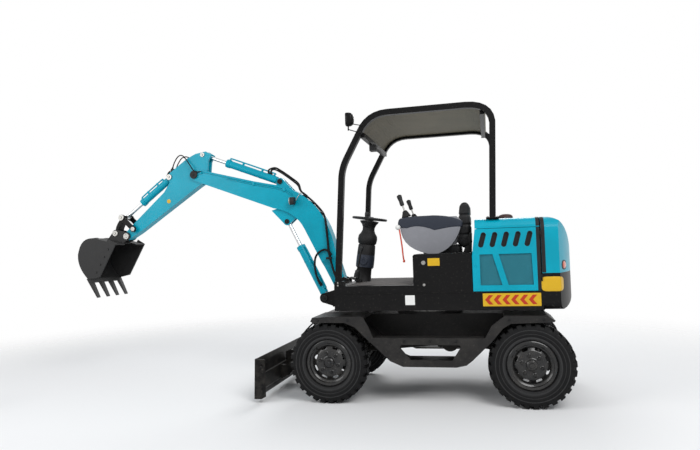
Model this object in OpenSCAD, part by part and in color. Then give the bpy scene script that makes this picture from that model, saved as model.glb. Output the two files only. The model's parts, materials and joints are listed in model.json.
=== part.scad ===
// Small wheeled excavator with a canopy, a one-piece boom and a front blade.
// +X is forward, +Y is the operator's left, +Z is up, and the ground is z = 0.
// Lengths are millimetres. Side views are written as [x, z], with x from the slew axis.

/* [Wheels and axles] */
// Tyre outside diameter, over the lugs
tyre_d = 775; // [740:5:780]
// Tyre width
tyre_w = 200; // [180:5:205]
// Outside diameter of the rim's flanges
flange_d = 445; // [430:5:460]
// Number of lugs round each shoulder
lug_n = 28; // [20:1:32]
// Height of a lug
lug_h = 22; // [10:1:26]
// Distance between the front and rear axles
wheelbase = 1900; // [1880:5:1950]
// Distance of the front axle ahead of the slew axis
front_axle_x = 935; // [920:5:960]
// Distance between the middles of the left and right tyres
track = 1255; // [1245:5:1260]
// Distance of each steering pivot from the centre plane
kingpin_y = 520; // [500:5:530]
// Diameter of the axle tubes
axle_d = 104; // [80:2:120]
// Diameter of the differential housings
diff_d = 236; // [200:2:250]

/* [Chassis] */
// Gap between the tyres and the upper face of the decks over them
deck_gap = 65; // [60:1:85]
// Drop from the decks to the side beams' upper edge
beam_drop = 200; // [180:5:220]
// Drop from the decks to the side beams' lower edge
beam_low_drop = 468; // [440:2:490]
// Distance of the side plates' outer faces from the centre plane
side_y = 748; // [720:2:770]
// Thickness of the chassis plates
plate_t = 14; // [8:1:20]
// Width of the central box
box_w = 500; // [440:10:560]
// Outside diameter of the slew ring
slew_d = 640; // [560:10:700]
// Height of the slew ring
slew_h = 48; // [30:1:60]

/* [Blade] */
// Width of the blade
blade_w = 1550; // [1400:10:1600]
// Height of the blade
blade_h = 392; // [340:2:420]
// Height of the blade's lower edge over the ground
blade_z = 40; // [20:2:80]
// Distance of the blade's cutting edge ahead of the slew axis
blade_x = 1684; // [1640:2:1730]
// Depth of the blade's end plates
blade_end = 118; // [100:2:130]
// Diameter of the lashing hole in each end plate
lash_d = 30; // [20:1:36]

/* [Upper structure] */
// Distance of the platform's front edge ahead of the slew axis
front_x = 856; // [830:2:880]
// Distance of the tail behind the slew axis
tail_x = 1400; // [1350:5:1450]
// Width of the upper structure
upper_w = 1400; // [1340:10:1440]
// Height of the platform's skirt
skirt_h = 170; // [150:5:200]
// Height of the operator's floor over the skirt's lower edge
floor_h = 240; // [220:5:270]
// Radius of the tail's corners
tail_r = 150; // [100:5:200]
// Height of the side boxes over the skirt
box_h = 360; // [320:5:380]
// Height of the engine doors' upper edge over the skirt
door_h = 582; // [560:2:620]
// Height of the engine cover's top over the doors' upper edge
crown_h = 90; // [60:2:110]
// Thickness of the engine doors
door_t = 22; // [12:1:30]
// Thickness of the cover panels
panel_t = 12; // [6:1:16]

/* [Canopy] */
// Height of the canopy's top over the operator's floor
canopy_h = 1703; // [1650:1:1770]
// Width of the canopy's tubes
tube_t = 56; // [44:2:64]
// Thickness of the roof panel
roof_t = 22; // [12:1:30]

/* [Operator station] */
// Diameter of the steering wheel
wheel_d = 380; // [340:5:400]
// Thickness of the steering wheel's rim
wheel_rim = 26; // [20:1:32]
// Width of the seat
seat_w = 470; // [420:10:500]
// Depth of the seat cushion
cushion_l = 440; // [400:10:460]

/* [Boom] */
// Width of the boom
boom_w = 150; // [140:2:170]
// Thickness of the boom's ears and lugs
ear_t = 18; // [12:1:20]
// Diameter of the boom's foot pin
foot_pin_d = 50; // [40:1:56]
// Width of the foot bracket between its ears
foot_w = 120; // [110:2:130]

/* [Arm] */
// Length of the arm between its pins
arm_len = 1127; // [1100:1:1150]
// Width of the arm
arm_w = 110; // [104:1:112]
// Diameter of the arm's pivot pin
arm_pin_d = 44; // [36:1:50]

/* [Bucket] */
// Width of the bucket
bucket_w = 590; // [480:10:620]
// Thickness of the bucket's plates
bucket_t = 12; // [8:1:16]
// Number of teeth
tooth_n = 4; // [3:1:5]
// Width of a tooth
tooth_w = 52; // [40:2:60]
// Thickness of the guide links
link_t = 14; // [10:1:18]
// Diameter of the linkage pins
link_pin_d = 36; // [30:1:40]

/* [Cylinders] */
// Outside diameter of the boom cylinder
boom_cyl_d = 90; // [80:1:96]
// Outside diameter of the arm cylinder
arm_cyl_d = 84; // [70:1:88]
// Outside diameter of the bucket cylinder
bucket_cyl_d = 80; // [64:1:82]
// Outside diameter of the blade cylinder
blade_cyl_d = 84; // [70:1:90]
// Diameter of the piston rods
rod_d = 42; // [36:1:46]

/* [Hidden] */

$fn = 48;
// Distance of the slew axis from the middle of the machine's length
slew_x = -1330;
// Clearance round a pin and beside a lug
run_gap = 0.3;
// Gap between panels
panel_gap = 6;
// Reach of the boom's fork round the arm's root
fork_r = 268;

wheel_z = tyre_d / 2;
rear_axle_x = front_axle_x - wheelbase;
wheel_y = track / 2;
rim_half = 74;
bead_r = flange_d / 2 - 19;
spindle_d = 56;
hub_in = -28;
hub_d = 150;
dish_y = 40;
hub_out = 66;

deck_t = 28;
deck_z = tyre_d + deck_gap;
beam_z = deck_z - beam_drop;
beam_low_z = deck_z - beam_low_drop;
ring_z = deck_z + 2;
base_z = ring_z + slew_h;
skirt_z = base_z + skirt_h;
floor_z = base_z + floor_h;
post_foot_z = floor_z + 46;
box_z = skirt_z + box_h;
door_z = skirt_z + door_h;
crown_z = door_z + crown_h;
half_w = upper_w / 2;
// Width of the canopy over its posts
canopy_w = upper_w;
canopy_z = floor_z + canopy_h;
bay_front = -470;
bay_rear = 312 - tail_x;
engine = [430, 540, 460];
pillar_w = 40;
hinge_d = 12;
hinge = [bay_rear + panel_gap, half_w + 7];
hinge_zs = [skirt_z + 90, skirt_z + 480];
box_low_z = deck_z - 280;
gearbox = [-200, box_low_z - 64];
gearbox_r = 90;
column_foot = [front_x - 141, floor_z];
column_h = 672;
column_tilt = 8;
console_z = box_z + 360;
hood_z = base_z + 330;
// Distance of the guide links' inner faces from the centre plane
link_in = arm_w / 2 + ear_t + 12;

teal = "#12a5b5";
black = "#26272a";
rubber = "#1a1a1c";
steel = "#c2c6c9";
grey = "#8f9496";

// Pivots in the side view, at rest
boom_foot = [front_x + 86, base_z + 190];
boom_cyl_foot = [front_x + 272, base_z + 77];
boom_eye = boom_foot + [607, 737];
arm_pivot = boom_foot + [1712, 1322];
arm_cyl_foot = boom_foot + [677, 1189];
arm_eye = arm_pivot + [-98, 230];
arm_dir = [0.7984, -0.6021];
arm_up = [0.6021, 0.7984];
function on_arm(s, t) = arm_pivot + s * arm_dir + t * arm_up;
bucket_pivot = on_arm(arm_len, 0);
guide_pivot = on_arm(arm_len - 135, 0);
bucket_cyl_foot = on_arm(266, 193);
link_top = guide_pivot + [149, 140];
link_low = bucket_pivot + [143, 38];
nose_x = front_axle_x + 175;
blade_pivot = [nose_x + 30, box_low_z - 90];
blade_cyl_foot = [nose_x + 58, deck_z - 118];
blade_eye = [blade_x - 150, blade_z + 330];

function rev(v) = [for (i = [len(v) - 1:-1:0]) v[i]];
function unit(v) = v / norm(v);
function turn_left(v) = [-v[1], v[0]];
function angle_of(v) = atan2(v[1], v[0]);
// A curve from a to c that is tangent to the lines through b
function bend(a, b, c, n = 6) =
    [for (i = [0:n]) let (t = i / n) (1 - t) * (1 - t) * a + 2 * t * (1 - t) * b + t * t * c];
// Points on a circle round c, from angle a0 to a1
function arc(c, r, a0, a1, n = 8) =
    [for (i = [0:n]) let (a = a0 + (a1 - a0) * i / n) c + r * [cos(a), sin(a)]];
// A path shifted to its left by d, mitred where it bends
function beside(p, d) = [for (i = [0:len(p) - 1])
    let (a = i == 0 ? unit(p[1] - p[0]) : unit(p[i] - p[i - 1]),
        b = i == len(p) - 1 ? a : unit(p[i + 1] - p[i]),
        m = unit(turn_left(a) + turn_left(b)))
    p[i] + m * d / (m * turn_left(a))];
// A box's outline with rounded corners
function soft_box(a, b, r) = concat(arc(a + [r, r], r, 180, 270), arc([b[0] - r, a[1] + r], r, 270, 360),
    arc(b - [r, r], r, 0, 90), arc([a[0] + r, b[1] - r], r, 90, 180));
// A slot's outline round the line from a up to b
function capsule(a, b, r) = let (d = angle_of(b - a))
    concat(arc(a, r, d + 90, d + 270, 6), arc(b, r, d - 90, d + 90, 6));
// The outline of a strip between two shifts of one path
function strip(p, d0, d1) = concat(beside(p, d0), rev(beside(p, d1)));

module on_machine() {
    translate([slew_x, 0, 0]) children();
}

// Extrudes a side view from y0 to y1
module side_plate(y0, y1) {
    translate([0, y1, 0]) rotate([90, 0, 0]) linear_extrude(y1 - y0) children();
}

// The same plate on both sides, from y0 to y1 out from the centre plane
module both_sides(y0, y1) {
    side_plate(y0, y1) children();
    side_plate(-y1, -y0) children();
}

// Round bar across the machine at p
module cross_bar(p, d, y0, y1) {
    translate([p[0], y0, p[1]]) rotate([-90, 0, 0]) cylinder(d = d, h = y1 - y0);
}

// Turns a shape drawn round +Z to the axle line at p
module on_axle(p, y) {
    translate([p[0], y, p[1]]) rotate([-90, 0, 0]) children();
}

// Round bar between two points in space
module bar(a, b, d) {
    v = b - a;
    translate(a) rotate([0, acos(v[2] / norm(v)), atan2(v[1], v[0])]) cylinder(d = d, h = norm(v));
}

module mirrored(side) {
    if (side > 0) children();
    else mirror([0, 1, 0]) children();
}

// Places a shape drawn along +X at a, in line with b
module in_line(a, b) {
    translate([a[0], 0, a[1]]) rotate([0, -angle_of(b - a), 0]) children();
}

// Rounded rectangle between two corners
module round_rect(a, b, r) {
    translate([a[0] + r, a[1]]) square([b[0] - a[0] - 2 * r, b[1] - a[1]]);
    translate([a[0], a[1] + r]) square([b[0] - a[0], b[1] - a[1] - 2 * r]);
    for (x = [a[0] + r, b[0] - r], y = [a[1] + r, b[1] - r]) translate([x, y]) circle(r);
}

// Central box of the chassis, with the ears that carry the blade and its cylinder
module chassis_frame() {
    top_z = deck_z - deck_t;
    arm_y = 220;
    color(black) on_machine() {
        side_plate(-box_w / 2, box_w / 2)
            polygon([[rear_axle_x - 180, top_z], [rear_axle_x - 180, box_low_z + 60],
                [rear_axle_x - 110, box_low_z], [nose_x - 40, box_low_z], [nose_x, box_low_z + 50],
                [nose_x, top_z]]);
        // Seat of the slew ring
        translate([0, 0, top_z]) cylinder(d = slew_d + 40, h = ring_z - top_z);
        // Forked ears for the blade's arms
        for (y = [-arm_y, arm_y], s = [-1, 1])
            side_plate(y + s * 40 - 9.5, y + s * 40 + 9.5)
                polygon(concat([[nose_x - 70, box_low_z]], arc(blade_pivot, 40, 210, 390, 8),
                    [[nose_x - 2, box_low_z + 48]]));
        for (y = [-arm_y, arm_y]) cross_bar(blade_pivot, 40, y - 50, y + 50);
        // Ears for the blade's cylinder
        both_sides(32, 32 + ear_t)
            polygon(concat([[nose_x, box_low_z + 60]], arc(blade_cyl_foot, 42, 270, 450, 8),
                [[nose_x, top_z]]));
        cross_bar(blade_cyl_foot, 36, -32 - ear_t, 32 + ear_t);
        // Transfer gearbox under the box, with a flange for each shaft
        side_plate(-105, 105) {
            translate(gearbox) circle(gearbox_r);
            translate(gearbox + [-gearbox_r, 0]) square([2 * gearbox_r, box_low_z - gearbox[1]]);
        }
        for (x = [front_axle_x, rear_axle_x])
            in_line(gearbox, [x, wheel_z]) rotate([0, 90, 0]) cylinder(d = 110, h = gearbox_r + 30);
    }
}

// Propeller shaft from the gearbox's flange to the axle at x
module prop_shaft(x) {
    start = gearbox_r + 30 + run_gap;
    in_line(gearbox, [x, wheel_z]) rotate([0, 90, 0]) {
        translate([0, 0, start]) cylinder(d = 100, h = 14);
        translate([0, 0, start]) cylinder(d = 54, h = norm([x, wheel_z] - gearbox) - start);
    }
}

// Side plate's outline, from the front deck round under the beam to the rear deck
function side_outline() = concat(
    ahead([[160, -44], [142, -8], [-20, 0], [-360, 0], [-411, -88], [-458, beam_z - deck_z]]),
    behind([[404, beam_z - deck_z], [342, -88], [228, 0], [-150, 0], [-215, -44], [-170, -58]]),
    rear_leg(),
    front_leg(),
    ahead([[-182, -58], [140, -56]]));
function rear_leg() =
    behind([[170, -68], [242, -110], [348, -236], [524, -406], [578, -448], [670, beam_low_z - deck_z]]);
function front_leg() =
    ahead([[-736, beam_low_z - deck_z], [-614, -416], [-504, -310], [-398, -214], [-280, -98]]);
// Points written from an axle and the deck's upper face
function ahead(v) = [for (p = v) [front_axle_x, deck_z] + p];
function behind(v) = [for (p = v) [rear_axle_x, deck_z] + p];

// Side beams with the decks over the wheels
module side_frames() {
    inner = box_w / 2;
    color(black) on_machine() {
        both_sides(side_y - plate_t, side_y) difference() {
            polygon(side_outline());
            // Opening in the beam
            polygon([[226, beam_z - 84], [206, beam_z - 64], [-330, beam_z - 64], [-342, beam_z - 80],
                [-262, beam_low_z + 64], [124, beam_low_z + 64]]);
        }
        // Decks over the wheels
        both_sides(inner, side_y - plate_t) {
            polygon(ahead([[-360, -deck_t], [-360, 0], [-20, 0], [142, -8], [146, -26], [-20, -deck_t]]));
            polygon(behind([[228, -deck_t], [228, 0], [-150, 0], [-215, -44], [-200, -58], [-130, -deck_t]]));
        }
        // Slanting flanges beside the wheels, joined by the bottom flange
        both_sides(inner, side_y - plate_t)
            polygon(strip(concat(behind([[228, -60]]), [for (i = [1:5]) rear_leg()[i]],
                front_leg(), ahead([[-270, -60]])), 0, plate_t));
        // Ledge along the beam's upper edge
        both_sides(side_y - 150, side_y - plate_t)
            polygon([[front_axle_x - 480, beam_z - plate_t], [front_axle_x - 468, beam_z],
                [rear_axle_x + 414, beam_z], [rear_axle_x + 426, beam_z - plate_t]]);
    }
}

// Slew ring with its two races
module slew_ring() {
    color(steel) on_machine() translate([0, 0, ring_z])
        rotate_extrude($fn = 96)
            polygon([[slew_d / 2 - 90, 0], [slew_d / 2, 0], [slew_d / 2, slew_h * 0.4],
                [slew_d / 2 - 12, slew_h * 0.45], [slew_d / 2 - 12, slew_h * 0.55],
                [slew_d / 2, slew_h * 0.6], [slew_d / 2, slew_h - run_gap],
                [slew_d / 2 - 90, slew_h - run_gap]]);
}

// Axle housing out to y_end, as a profile of [radius, y]
module axle_housing(x, y_end) {
    half = [[diff_d / 2, 0], [diff_d / 2, 38], [diff_d / 2 - 22, 70], [axle_d / 2 + 12, 128],
        [axle_d / 2, 170], [axle_d / 2, y_end], [0, y_end]];
    for (side = [-1, 1]) mirrored(side)
        on_axle([x, wheel_z], 0) rotate_extrude() polygon(concat([[0, 0]], half));
}

// Steered front axle with a yoke at each end
module front_axle() {
    yoke_in = kingpin_y - 60;
    color(black) on_machine() {
        axle_housing(front_axle_x, yoke_in);
        prop_shaft(front_axle_x);
        // Oscillating pivot under the chassis box
        side_plate(-70, 70)
            polygon([[front_axle_x - 90, wheel_z + 60], [front_axle_x + 90, wheel_z + 60],
                [front_axle_x + 60, box_low_z], [front_axle_x - 60, box_low_z]]);
        for (side = [-1, 1]) mirrored(side) {
            translate([front_axle_x, yoke_in - 10, wheel_z - 106])
                linear_extrude(212) square([110, 24], center = true);
            for (z = [wheel_z - 106, wheel_z + 82]) translate([front_axle_x, 0, z]) linear_extrude(24) {
                translate([-55, yoke_in - 22]) square([110, 82]);
                translate([0, kingpin_y]) circle(d = 110);
            }
            translate([front_axle_x, kingpin_y, wheel_z - 112]) cylinder(d = 38, h = 224);
        }
    }
}

module rear_axle() {
    end_y = wheel_y + hub_in - run_gap;
    color(black) on_machine() {
        axle_housing(rear_axle_x, end_y);
        prop_shaft(rear_axle_x);
        for (side = [-1, 1]) mirrored(side) {
            on_axle([rear_axle_x, wheel_z], end_y - 30) cylinder(d = 140, h = 30);
            on_axle([rear_axle_x, wheel_z], end_y) cylinder(d = spindle_d, h = 50);
            // Pads that bolt the axle under the chassis box
            side_plate(150, 230)
                polygon([[rear_axle_x - 80, wheel_z + 30], [rear_axle_x + 80, wheel_z + 30],
                    [rear_axle_x + 100, box_low_z], [rear_axle_x - 100, box_low_z]]);
        }
    }
}

// Knuckle between the yoke's arms, with the wheel's spindle and the steering arm
module knuckle() {
    end_y = wheel_y + hub_in - run_gap;
    color(black) on_machine() difference() {
        union() {
            translate([front_axle_x, kingpin_y, wheel_z - 82 + run_gap])
                cylinder(d = 96, h = 164 - 2 * run_gap);
            on_axle([front_axle_x, wheel_z], kingpin_y) cylinder(d = 120, h = end_y - kingpin_y);
            on_axle([front_axle_x, wheel_z], end_y) cylinder(d = spindle_d, h = 50);
            translate([front_axle_x, kingpin_y, wheel_z - 12]) linear_extrude(24)
                polygon([[0, 44], [-30, 44], [-170, 8], [-186, -14], [-178, -32], [-150, -32], [-110, -14],
                    [-44, -6], [0, -30]]);
        }
        translate([front_axle_x, kingpin_y, wheel_z - 100]) cylinder(d = 38 + 2 * run_gap, h = 200);
        // Room for the axle tube's end and the yoke's web
        translate([front_axle_x - 44, kingpin_y - 60, wheel_z - 100]) cube([88, 12, 200]);
    }
}

module knuckle_left() {
    knuckle();
}

module knuckle_right() {
    mirror([0, 1, 0]) knuckle();
}

// Tie rod under the steering arms
module tie_rod() {
    end_y = kingpin_y - 14;
    color(black) on_machine() translate([front_axle_x - 165, 0, wheel_z - 12 - run_gap]) {
        for (side = [-1, 1]) translate([0, side * end_y, -30]) cylinder(d = 44, h = 30);
        translate([0, -end_y, -15]) rotate([-90, 0, 0]) cylinder(d = 26, h = 2 * end_y);
    }
}

// Tyre on the axle line, with staggered lugs round both shoulders
module tyre(x, side) {
    r = tyre_d / 2;
    body_r = r - lug_h;
    h = tyre_w / 2;
    pitch = 360 / lug_n;
    flank = [[bead_r + 0.6, 62], [flange_d / 2 + 1, 62], [flange_d / 2 + 6, 76], [body_r - 95, h - 2],
        [body_r - 60, h], [body_r - 24, h - 5], [body_r - 5, h - 17], [body_r, h - 34]];
    // One lug's outline, as [share of the pitch, radius]
    lug = [[-0.29, r + 5], [0.29, r + 5], [0.21, body_r - 20], [0.29, body_r - 30], [0.71, body_r - 30]];
    color(rubber) on_machine() on_axle([x, wheel_z], side * wheel_y) {
        rotate_extrude()
            polygon(concat([for (p = rev(flank)) [p[0], -p[1]]], flank));
        for (s = [-1, 1]) intersection() {
            rotate_extrude()
                polygon([[body_r - 12, s * 6], [r, s * 6], [r, s * (h - 32)], [r - 9, s * (h - 12)],
                    [body_r - 24, s * (h - 4)], [body_r - 24, s * 40], [body_r - 12, s * 20]]);
            rotate(s * pitch / 4) translate([0, 0, s > 0 ? 0 : -h]) linear_extrude(h)
                polygon([for (i = [0:lug_n - 1], c = lug)
                    let (a = (i + c[0]) * pitch) c[1] * [cos(a), sin(a)]]);
        }
    }
}

module tyre_front_left() {
    tyre(front_axle_x, 1);
}

module tyre_front_right() {
    tyre(front_axle_x, -1);
}

module tyre_rear_left() {
    tyre(rear_axle_x, 1);
}

module tyre_rear_right() {
    tyre(rear_axle_x, -1);
}

// Pressed steel rim with its dished disc, hub and cap
module rim(x) {
    f = flange_d / 2;
    t = 6;
    hole_n = 8;
    hole_r = 148;
    color(black) on_machine() on_axle([x, wheel_z], wheel_y) difference() {
        union() {
            // Barrel with a drop well and two flanges, as [radius, y]
            rotate_extrude($fn = 64)
                polygon([[f - 8, rim_half], [f, rim_half - 4], [f, rim_half - 9], [f - 5, 62.4],
                    [bead_r, 62.4], [bead_r - 3, 34], [bead_r - 20, 24], [bead_r - 20, -24],
                    [bead_r - 3, -34], [bead_r, -62.4], [f - 5, -62.4], [f, 9 - rim_half],
                    [f, 4 - rim_half],
                    [f - 8, -rim_half], [bead_r - t - 4, 4 - rim_half], [bead_r - t - 4, -36],
                    [bead_r - 20 - t, -26], [bead_r - 20 - t, 26], [bead_r - t - 4, 36],
                    [bead_r - t - 4, rim_half - 4]]);
            // Dished disc
            rotate_extrude($fn = 64)
                polygon([[0, dish_y - 10], [112, dish_y - 10], [126, dish_y - 16], [162, dish_y - 34],
                    [bead_r - 25, dish_y - 40], [bead_r - 22, dish_y - 20], [168, dish_y - 18],
                    [132, dish_y], [114, dish_y + 4], [0, dish_y + 4]]);
            translate([0, 0, hub_in]) cylinder(d = hub_d, h = dish_y - hub_in);
            // Hub cap
            rotate_extrude()
                polygon([[0, dish_y], [52, dish_y], [48, hub_out - 6], [40, hub_out], [26, hub_out + 2],
                    [22, hub_out + 8], [0, hub_out + 8]]);
        }
        translate([0, 0, hub_in - 1]) cylinder(d = spindle_d + 2 * run_gap, h = 53);
        // Hand holes
        for (i = [0:hole_n - 1]) rotate((i + 0.5) * 360 / hole_n) translate([hole_r, 0, -20])
            linear_extrude(80) {
                translate([-13, -16]) square([26, 32]);
                for (s = [-1, 1]) translate([0, s * 16]) circle(13);
            }
    }
}

module rim_front_left() {
    rim(front_axle_x);
}

module rim_front_right() {
    mirror([0, 1, 0]) rim(front_axle_x);
}

module rim_rear_left() {
    rim(rear_axle_x);
}

module rim_rear_right() {
    mirror([0, 1, 0]) rim(rear_axle_x);
}

// Curved blade with end plates and its two lift arms
module blade() {
    top = blade_z + blade_h;
    back = blade_x - blade_end;
    face = bend([blade_x, blade_z + 4], [back + 30, blade_z + blade_h * 0.45], [blade_x - 16, top], 8);
    ends = [[blade_x, blade_z], [blade_x - 14, top], [back + 2, top - 6], [back, blade_z + 24],
        [back + 46, blade_z]];
    stiffener = [[back + 34, blade_z + 90], [back + 50, blade_z + 110], [back + 50, blade_z + 250],
        [back + 20, blade_z + 250], [back + 14, blade_z + 110]];
    color(black) on_machine() {
        side_plate(-blade_w / 2 + 14, blade_w / 2 - 14) polygon(strip(face, 0, 14));
        both_sides(blade_w / 2 - 14, blade_w / 2) difference() {
            polygon(ends);
            translate([back + 36, top - 62]) circle(d = lash_d);
        }
        // Stiffener along the back
        side_plate(-blade_w / 2 + 14, blade_w / 2 - 14) polygon(stiffener);
        for (y = [-220, 220]) side_plate(y - 30, y + 30) difference() {
            polygon(concat(arc(blade_pivot, 38, 60, 230),
                [[back + 10, blade_z + 90], [back + 40, blade_z + 100], [back + 40, blade_z + 240],
                    [back - 20, blade_z + 230]]));
            translate(blade_pivot) circle(d = 40 + 2 * run_gap);
        }
        // Cross tube between the arms, and the lugs of the cylinder's rod
        cross_bar([back - 40, blade_z + 150], 60, -220, 220);
        both_sides(28, 28 + ear_t)
            polygon([[back + 40, blade_z + 200], [back + 40, top - 50], blade_eye + [10, 34],
                blade_eye + [-26, 20], blade_eye + [-26, -20], [back - 40, blade_z + 150]]);
    }
}

// Cylinder barrel from its foot pin a towards b, with its bore and gland
module barrel(a, b, d, length, eye_w, eye_d, pin_d) {
    start = eye_d / 2 + 14;
    color(teal) on_machine() difference() {
        union() {
            cross_bar(a, eye_d, -eye_w / 2, eye_w / 2);
            in_line(a, b) {
                translate([pin_d / 2 + 4, 1 - eye_w / 2, -eye_d * 0.3])
                    cube([start - pin_d / 2, eye_w - 2, eye_d * 0.6]);
                rotate([0, 90, 0]) {
                    translate([0, 0, start]) cylinder(d = d, h = length - start);
                    translate([0, 0, length - 46]) cylinder(d = d + 10, h = 46);
                }
            }
        }
        cross_bar(a, pin_d + 2 * run_gap, -eye_w, eye_w);
        in_line(a, b) rotate([0, 90, 0]) translate([0, 0, start + 24])
            cylinder(d = rod_d + 2 * run_gap, h = length);
    }
}

// Piston rod from its inner end, start away from a, out to its eye at b
module piston_rod(a, b, start, eye_w, eye_d) {
    span = norm(b - a);
    color(steel) on_machine() {
        in_line(a, b) rotate([0, 90, 0]) translate([0, 0, start]) cylinder(d = rod_d, h = span - start);
        cross_bar(b, eye_d, -eye_w / 2, eye_w / 2);
    }
}

module blade_barrel() {
    barrel(blade_cyl_foot, blade_eye, blade_cyl_d, 300, 63, 76, 36);
}

module blade_rod() {
    piston_rod(blade_cyl_foot, blade_eye, 200, 55, 64);
}

module boom_barrel() {
    barrel(boom_cyl_foot, boom_eye, boom_cyl_d, 640, foot_w - 2 * run_gap, 92, 44);
}

module boom_rod() {
    piston_rod(boom_cyl_foot, boom_eye, 300, 56, 74);
}

module arm_barrel() {
    barrel(arm_cyl_foot, arm_eye, arm_cyl_d, 700, 60, 80, 40);
}

module arm_rod() {
    piston_rod(arm_cyl_foot, arm_eye, 330, 50, 70);
}

module bucket_barrel() {
    barrel(bucket_cyl_foot, link_top, bucket_cyl_d, 480, 60, 70, 36);
}

module bucket_rod() {
    piston_rod(bucket_cyl_foot, link_top, 250, 50, 66);
}

// Plan of the upper structure, in from its edge by inset
module plan(inset, x_front) {
    intersection() {
        round_rect([-tail_x + inset, -half_w + inset], [x_front + tail_r + 200, half_w - inset],
            tail_r - inset);
        translate([-2 * tail_x, -half_w]) square([2 * tail_x + x_front, upper_w]);
        translate([200, 0]) circle(r = tail_x + 200 - inset, $fn = 96);
    }
}

// Platform with its skirt, the operator's floor and the foot blocks of the posts
module upper_frame() {
    color(black) on_machine() {
        translate([0, 0, base_z]) linear_extrude(skirt_h) difference() {
            intersection() {
                plan(0, front_x);
                translate([bay_rear, -half_w]) square([front_x - bay_rear, upper_w]);
            }
            circle(d = slew_d - 300);
        }
        translate([80, -half_w, skirt_z]) cube([front_x - 80, upper_w, floor_z - skirt_z]);
        for (side = [-1, 1]) translate([front_x - 92, side * (half_w - 48) - 44, floor_z])
            cube([92, 88, post_foot_z - floor_z]);
    }
}

// Ears at the front that carry the boom's foot and its cylinder
module boom_bracket() {
    color(black) on_machine() {
        both_sides(foot_w / 2, foot_w / 2 + 24)
            polygon(concat([[front_x, base_z - 20], [front_x, floor_z + 40], [front_x + 60, floor_z + 62]],
                arc(boom_foot, 62, 40, -20, 4), [boom_cyl_foot + [-30, 62]],
                arc(boom_cyl_foot, 56, 60, -90, 8), [[front_x + 120, base_z - 28]]));
        side_plate(-foot_w / 2, foot_w / 2)
            polygon([[front_x, base_z - 18], [front_x, floor_z + 10], [front_x + 12, floor_z + 10],
                [front_x + 12, base_z + 20], [front_x + 190, base_z + 2], [front_x + 190, base_z - 20]]);
        for (p = [[boom_foot, foot_pin_d], [boom_cyl_foot, 44]])
            cross_bar(p[0], p[1], -foot_w / 2 - 34, foot_w / 2 + 34);
    }
}

// Cast counterweight with rounded lower and tail corners
module counterweight() {
    low_r = 165;
    color(black) on_machine() intersection() {
        translate([0, 0, base_z]) linear_extrude(hood_z - base_z) difference() {
            plan(0, bay_rear);
            // Recess that takes the radiator's grille
            translate([bay_rear - 60, -380]) square([80, 760]);
        }
        side_plate(-half_w, half_w)
            polygon(soft_box([-tail_x - 6, base_z], [bay_rear + 400, hood_z + low_r + 10], low_r));
        rotate([90, 0, 90]) translate([0, 0, -2 * tail_x]) linear_extrude(2 * tail_x)
            polygon(soft_box([-half_w, base_z], [half_w, hood_z + 90], 70));
    }
}

// Solid form of the rear hood, in from its surface by inset
module hood_form(inset) {
    top_r = 120;
    tail = -tail_x - 6 + inset;
    top = crown_z - inset;
    intersection() {
        translate([0, 0, hood_z + run_gap + (inset > 0 ? -1 : 0)])
            linear_extrude(crown_z) plan(inset, bay_rear + (inset > 0 ? 1 : 0));
        side_plate(-half_w, half_w)
            polygon(concat(bend([tail, crown_z - 440], [tail + 36, top + 8], [bay_rear - 20, top], 10),
                [[bay_rear + 400, top], [bay_rear + 400, base_z], [tail, base_z]]));
        rotate([90, 0, 90]) translate([0, 0, -2 * tail_x]) linear_extrude(2 * tail_x)
            polygon(soft_box([-half_w + inset, base_z], [half_w - inset, top], top_r - inset));
    }
}

// Rounded sheet hood over the tail
module rear_hood() {
    color(teal) on_machine() difference() {
        hood_form(0);
        hood_form(panel_t);
    }
}

// Leaves and knuckles of the door's hinges, on the pillar (way -1) or on the door (way 1)
module hinge_halves(way, up) {
    for (z = hinge_zs) translate([hinge[0], hinge[1], z + up]) {
        cylinder(d = hinge_d, h = 30);
        if (way < 0) translate([-2, -door_t - 20, 0]) cube([4, door_t + 20, 30]);
        else translate([0, half_w - hinge[1], 0]) cube([30, 4, 30]);
    }
}

// Bulkheads round the engine, which carry the cover and the door
module engine_bay() {
    w = half_w - door_t - run_gap;
    color(black) on_machine() {
        // Front bulkhead, which leans with the door's front edge
        side_plate(-w, w)
            polygon([[bay_front - 40, skirt_z], [bay_front - 18, skirt_z], [bay_front - 18, skirt_z + 330],
                [bay_front - 52, door_z], [bay_front - 74, door_z], [bay_front - 40, skirt_z + 330]]);
        // Rear bulkhead with the pillars behind the seams between the doors and the hood
        translate([bay_rear, -w, skirt_z]) cube([20, 2 * w, door_z - skirt_z]);
        for (side = [-1, 1]) mirrored(side)
            translate([bay_rear, w - 20, skirt_z]) cube([pillar_w, 20, door_z - skirt_z]);
        hinge_halves(-1, 0);
    }
}

// Cross-section of the engine cover, as [y, z]
module cover_section(inset) {
    e = half_w - inset;
    side = bend([e, door_z], [e, crown_z - inset], [e - 100, crown_z - inset], 8);
    polygon(concat(side, [for (p = rev(side)) [-p[0], p[1]]]));
}

// Cover over the engine, from the seat back to the hood
module engine_cover() {
    color(teal) on_machine()
        rotate([90, 0, 90]) translate([0, 0, bay_rear + 2 * panel_gap])
            linear_extrude(bay_front - 34 - bay_rear - 2 * panel_gap) difference() {
                cover_section(0);
                cover_section(panel_t);
            }
}

// Outline of a side door, as [x, z]
function door_outline() = let (rear = bay_rear + 2 * panel_gap) [[rear, skirt_z + 4],
    [bay_front - 2, skirt_z + 4], [bay_front - 2, skirt_z + 330], [bay_front - 34, door_z - 4],
    [rear, door_z - 4]];

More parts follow.
